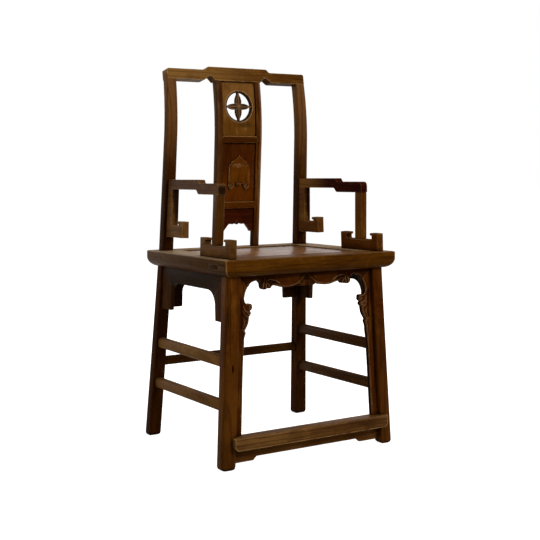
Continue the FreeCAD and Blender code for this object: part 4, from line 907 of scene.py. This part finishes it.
ARM_RAIL = [
    (-14, 157.5, "corner"), (94, 157.5, "corner"), (100, 158.4), (104.5, 162), (109, 167), (114, 169),
    (120, 169, "corner"), (298, 169, "corner"), (296, 195.5, "corner"), (106, 195.5, "corner"), (102.5, 195),
    (99.5, 192.6), (97, 188.4), (93.5, 186.2), (89, 186, "corner"), (-2, 186, "corner"), (-8.5, 184.4),
    (-12.6, 180.2), (-14, 174, "corner"),
]
ARM_PIVOT = (226.0, -140.0, SEAT_TOP)
ARM_TURN = (0.0, -0.031, 0.022)
ARM_THICKNESS = 20.5


def make_arm_rail(name, side):
    """An arm rail with its stepped curl and its rounded nose."""
    rail = cut_board([ARM_RAIL], ARM_THICKNESS)
    move(rail, 0, -ARM_THICKNESS / 2, 0)
    turn_round(rail, QUARTER_TURN, "Z")
    out, depth, level = ARM_PIVOT
    turn = Vector(ARM_TURN) * side
    lie = Matrix.Translation((side * out, depth, level)) @ Matrix.Rotation(turn.length, 4, turn)
    bmesh.ops.transform(rail, verts=rail.verts, matrix=Matrix.Scale(MM, 4) @ lie)
    finished(f"{name}_arm_curl", rail, f"{name}_arm_rail", f"{name}_arm", 2.6)


TENON_END = (1.6, 46.5, 12.6)
TENON_PLACE = (260.0, -174.8, 510.0)


def make_tenon_end(name, side):
    """An end of the front rail's tenon, which comes through a side rail and stands a little proud of it."""
    out, depth, level = TENON_PLACE
    end = bmesh.new()
    bmesh.ops.create_cube(end, size=1.0)
    bmesh.ops.scale(end, verts=end.verts, vec=TENON_END)
    bmesh.ops.bevel(end, geom=end.edges[:], affect="EDGES", offset=0.3, segments=2, profile=0.5, material=-1)
    move(end, side * out, depth, level)
    bmesh.ops.scale(end, verts=end.verts, vec=(MM, MM, MM))
    finished(f"{name}_tenon_end", end, "seat_front_rail", "end_grain")


make_front_surround()
make_flower_board()
make_splat_rail("splat_upper_rail", 836.5, "upper_rail")
make_splat_rail("splat_lower_rail", 650.5, "lower_rail")
make_tablet()
make_foot_apron()
make_crest()
make_arm_rail("left", -1)
make_arm_rail("right", 1)


# Every other piece keeps its solid's shape, with eased corners

def worn_feet(mesh):
    """Rounds the lower ends of the legs, as years of dragging have done."""
    turn = 9.0 * MM
    for share in (0.08, 0.25, 0.5, 1.0):
        cut_level(mesh, (0, 0, turn * share), (0, 0, 1))
    foot = [vert for vert in mesh.verts if vert.co.z < turn - 0.00001]
    middle = sum((vert.co for vert in foot), Vector()) / len(foot)
    half = max((vert.co - middle).length for vert in foot) * 0.75
    for vert in foot:
        inward = turn - math.sqrt(max(0.0, turn ** 2 - (turn - vert.co.z) ** 2))
        share = 1.0 - inward / half
        vert.co.x = middle.x + (vert.co.x - middle.x) * share
        vert.co.y = middle.y + (vert.co.y - middle.y) * share


def worn_edge(mesh):
    """Lets the front rail's upper edge dip here and there, where sitters have rubbed it away."""
    front, top, deepest, dips_in_a_metre = -0.2395, 0.5285, 3.2 * MM, 14.0
    for place in range(-248, 249, 8):
        cut_level(mesh, (place * MM, 0, 0), (1, 0, 0))
    cut_level(mesh, (0, -0.232, 0), (0, 1, 0))
    cut_level(mesh, (0, 0, 0.521), (0, 0, 1))
    for vert in mesh.verts:
        if vert.co.y < front and vert.co.z > top:
            rubbed = max(0.0, roughly(Vector((vert.co.x * dips_in_a_metre, 3.7, 1.3))) + 0.15) * deepest
            vert.co.z -= rubbed
            vert.co.y += rubbed * 0.6


# The first part of a name that fits decides the wood and how far its corners are eased
PLAIN_WOODS = (
    ("seat_panel", "seat_board", 1.0), ("seat_front", "front_rail", 1.6), ("seat_back", "back_rail", 1.4),
    ("left_stile", "left_stile", 1.6), ("right_stile", "right_stile", 1.6), ("back_", "dark_rail", 1.2),
    ("footrest_apron", "footrest_apron", 1.2), ("footrest", "footrest", 5.0), ("apron", "side_apron", 1.2),
    ("left_arm_bracket", "left_hanger", 1.8), ("left_arm_base", "left_base", 2.2),
    ("left_arm_post", "left_arm_post", 2.6), ("right_arm_bracket", "right_hanger", 1.8),
    ("right_arm_base", "right_base", 2.2), ("right_arm_post", "right_arm_post", 2.6), ("bracket", "bracket", 1.2),
    ("rear_stretcher", "rear_stretcher", 1.2), ("left_upper", "left_stretcher", 1.2),
    ("left_lower", "left_stretcher", 1.2), ("stretcher", "right_stretcher", 1.2),
    ("front_left_leg", "left_leg", 2.0), ("leg", "leg", 2.0), ("post", "post", 1.8), ("rail", "side_rail", 1.4),
    ("", "dark_rail", 1.0),
)

for name, solid in sorted(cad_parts.items()):
    # The solids that the pieces above stand for are hidden already
    if not solid.hide_render:
        wood_name, softness = next((kind, soft) for part, kind, soft in PLAIN_WOODS if part in name)
        shape = solid_shape(name)
        if name.endswith(("leg", "rear_left_post", "rear_right_post")):
            worn_feet(shape)
        if name == "seat_front_rail":
            worn_edge(shape)
        finished(f"{name}_finished", shape, name, wood_name, softness)
make_tenon_end("left", -1)
make_tenon_end("right", 1)


# Floor, light and camera

def is_seen(tree):
    """1 where the background itself is seen, straight or in a reflection, and 0 for the light that it gives."""
    rays = node(tree, "ShaderNodeLightPath", {}).outputs
    seen = maths(tree, "MAXIMUM", rays["Is Camera Ray"], rays["Is Glossy Ray"])
    return maths(tree, "MAXIMUM", seen, rays["Is Transmission Ray"])


WHITE = (1.0, 1.0, 1.0, 1.0)
PALE_GREY = (0.8, 0.8, 0.8, 1.0)
MID_GREY = (0.25, 0.25, 0.25, 1.0)


def lay_floor():
    """White paper that takes the chair's shadow and throws little light back."""
    mesh = bmesh.new()
    bmesh.ops.create_grid(mesh, x_segments=1, y_segments=1, size=30.0)
    data = as_data(mesh, "studio_floor")
    floor = placed("studio_floor", data)
    paper = bpy.data.materials.new("floor_paper")
    paper.use_nodes = True
    tree = paper.node_tree
    seen = is_seen(tree)
    feed(tree, tree.nodes["Principled BSDF"], {
        "Base Color": mixed(tree, seen, MID_GREY, PALE_GREY), "Roughness": 1.0, "Specular IOR Level": 0.0,
        "Emission Color": WHITE, "Emission Strength": times(tree, seen, 0.8),
    })
    data.materials.append(paper)


def light_studio():
    """A white room with a strong window in front, and weaker ones at both sides and behind."""
    world = bpy.data.worlds.new("studio_air")
    bpy.context.scene.world = world
    world.use_nodes = True
    tree = world.node_tree
    unseen_light = 0.27
    strength = ramp(tree, is_seen(tree), 0.0, 1.0, unseen_light, 1.0)
    feed(tree, tree.nodes["Background"], {"Color": WHITE, "Strength": strength})
    middle_of_chair = Vector((0.0, 0.0, 0.6))
    for name, place, size, power in (
        ("front_window", (1.3, -3.5, 2.9), 1.8, 115.0),
        ("side_window", (-3.6, -1.6, 1.6), 2.4, 40.0),
        ("far_window", (3.6, 0.9, 1.5), 2.4, 85.0),
        ("back_window", (-0.6, 3.8, 1.6), 2.4, 70.0),
    ):
        lamp = bpy.data.lights.new(name, "AREA")
        lamp.shape = "SQUARE"
        lamp.size = size
        lamp.energy = power
        holder = placed(name, lamp)
        holder.location = place
        holder.rotation_euler = (middle_of_chair - Vector(place)).to_track_quat("-Z", "Y").to_euler()


def set_camera():
    """The camera stands low in front of the chair's left corner, as the photographer did."""
    place, focal_pixels, picture_pixels = (-1.4717, -2.4105, 0.7379), 1028.12, 540
    yaw, pitch, roll = math.radians(-31.6296), math.radians(5.3353), math.radians(-0.4259)
    lens = bpy.data.cameras.new("camera")
    lens.sensor_width = 36.0
    lens.lens = focal_pixels / picture_pixels * lens.sensor_width
    lens.clip_start = 0.1
    lens.clip_end = 100.0
    camera = placed("camera", lens)
    turn = Matrix.Rotation(yaw, 4, "Z") @ Matrix.Rotation(QUARTER_TURN - pitch, 4, "X") @ Matrix.Rotation(roll, 4, "Z")
    camera.matrix_world = Matrix.Translation(place) @ turn
    bpy.context.scene.camera = camera


lay_floor()
light_studio()
set_camera()
bpy.context.scene.view_settings.view_transform = "Standard"
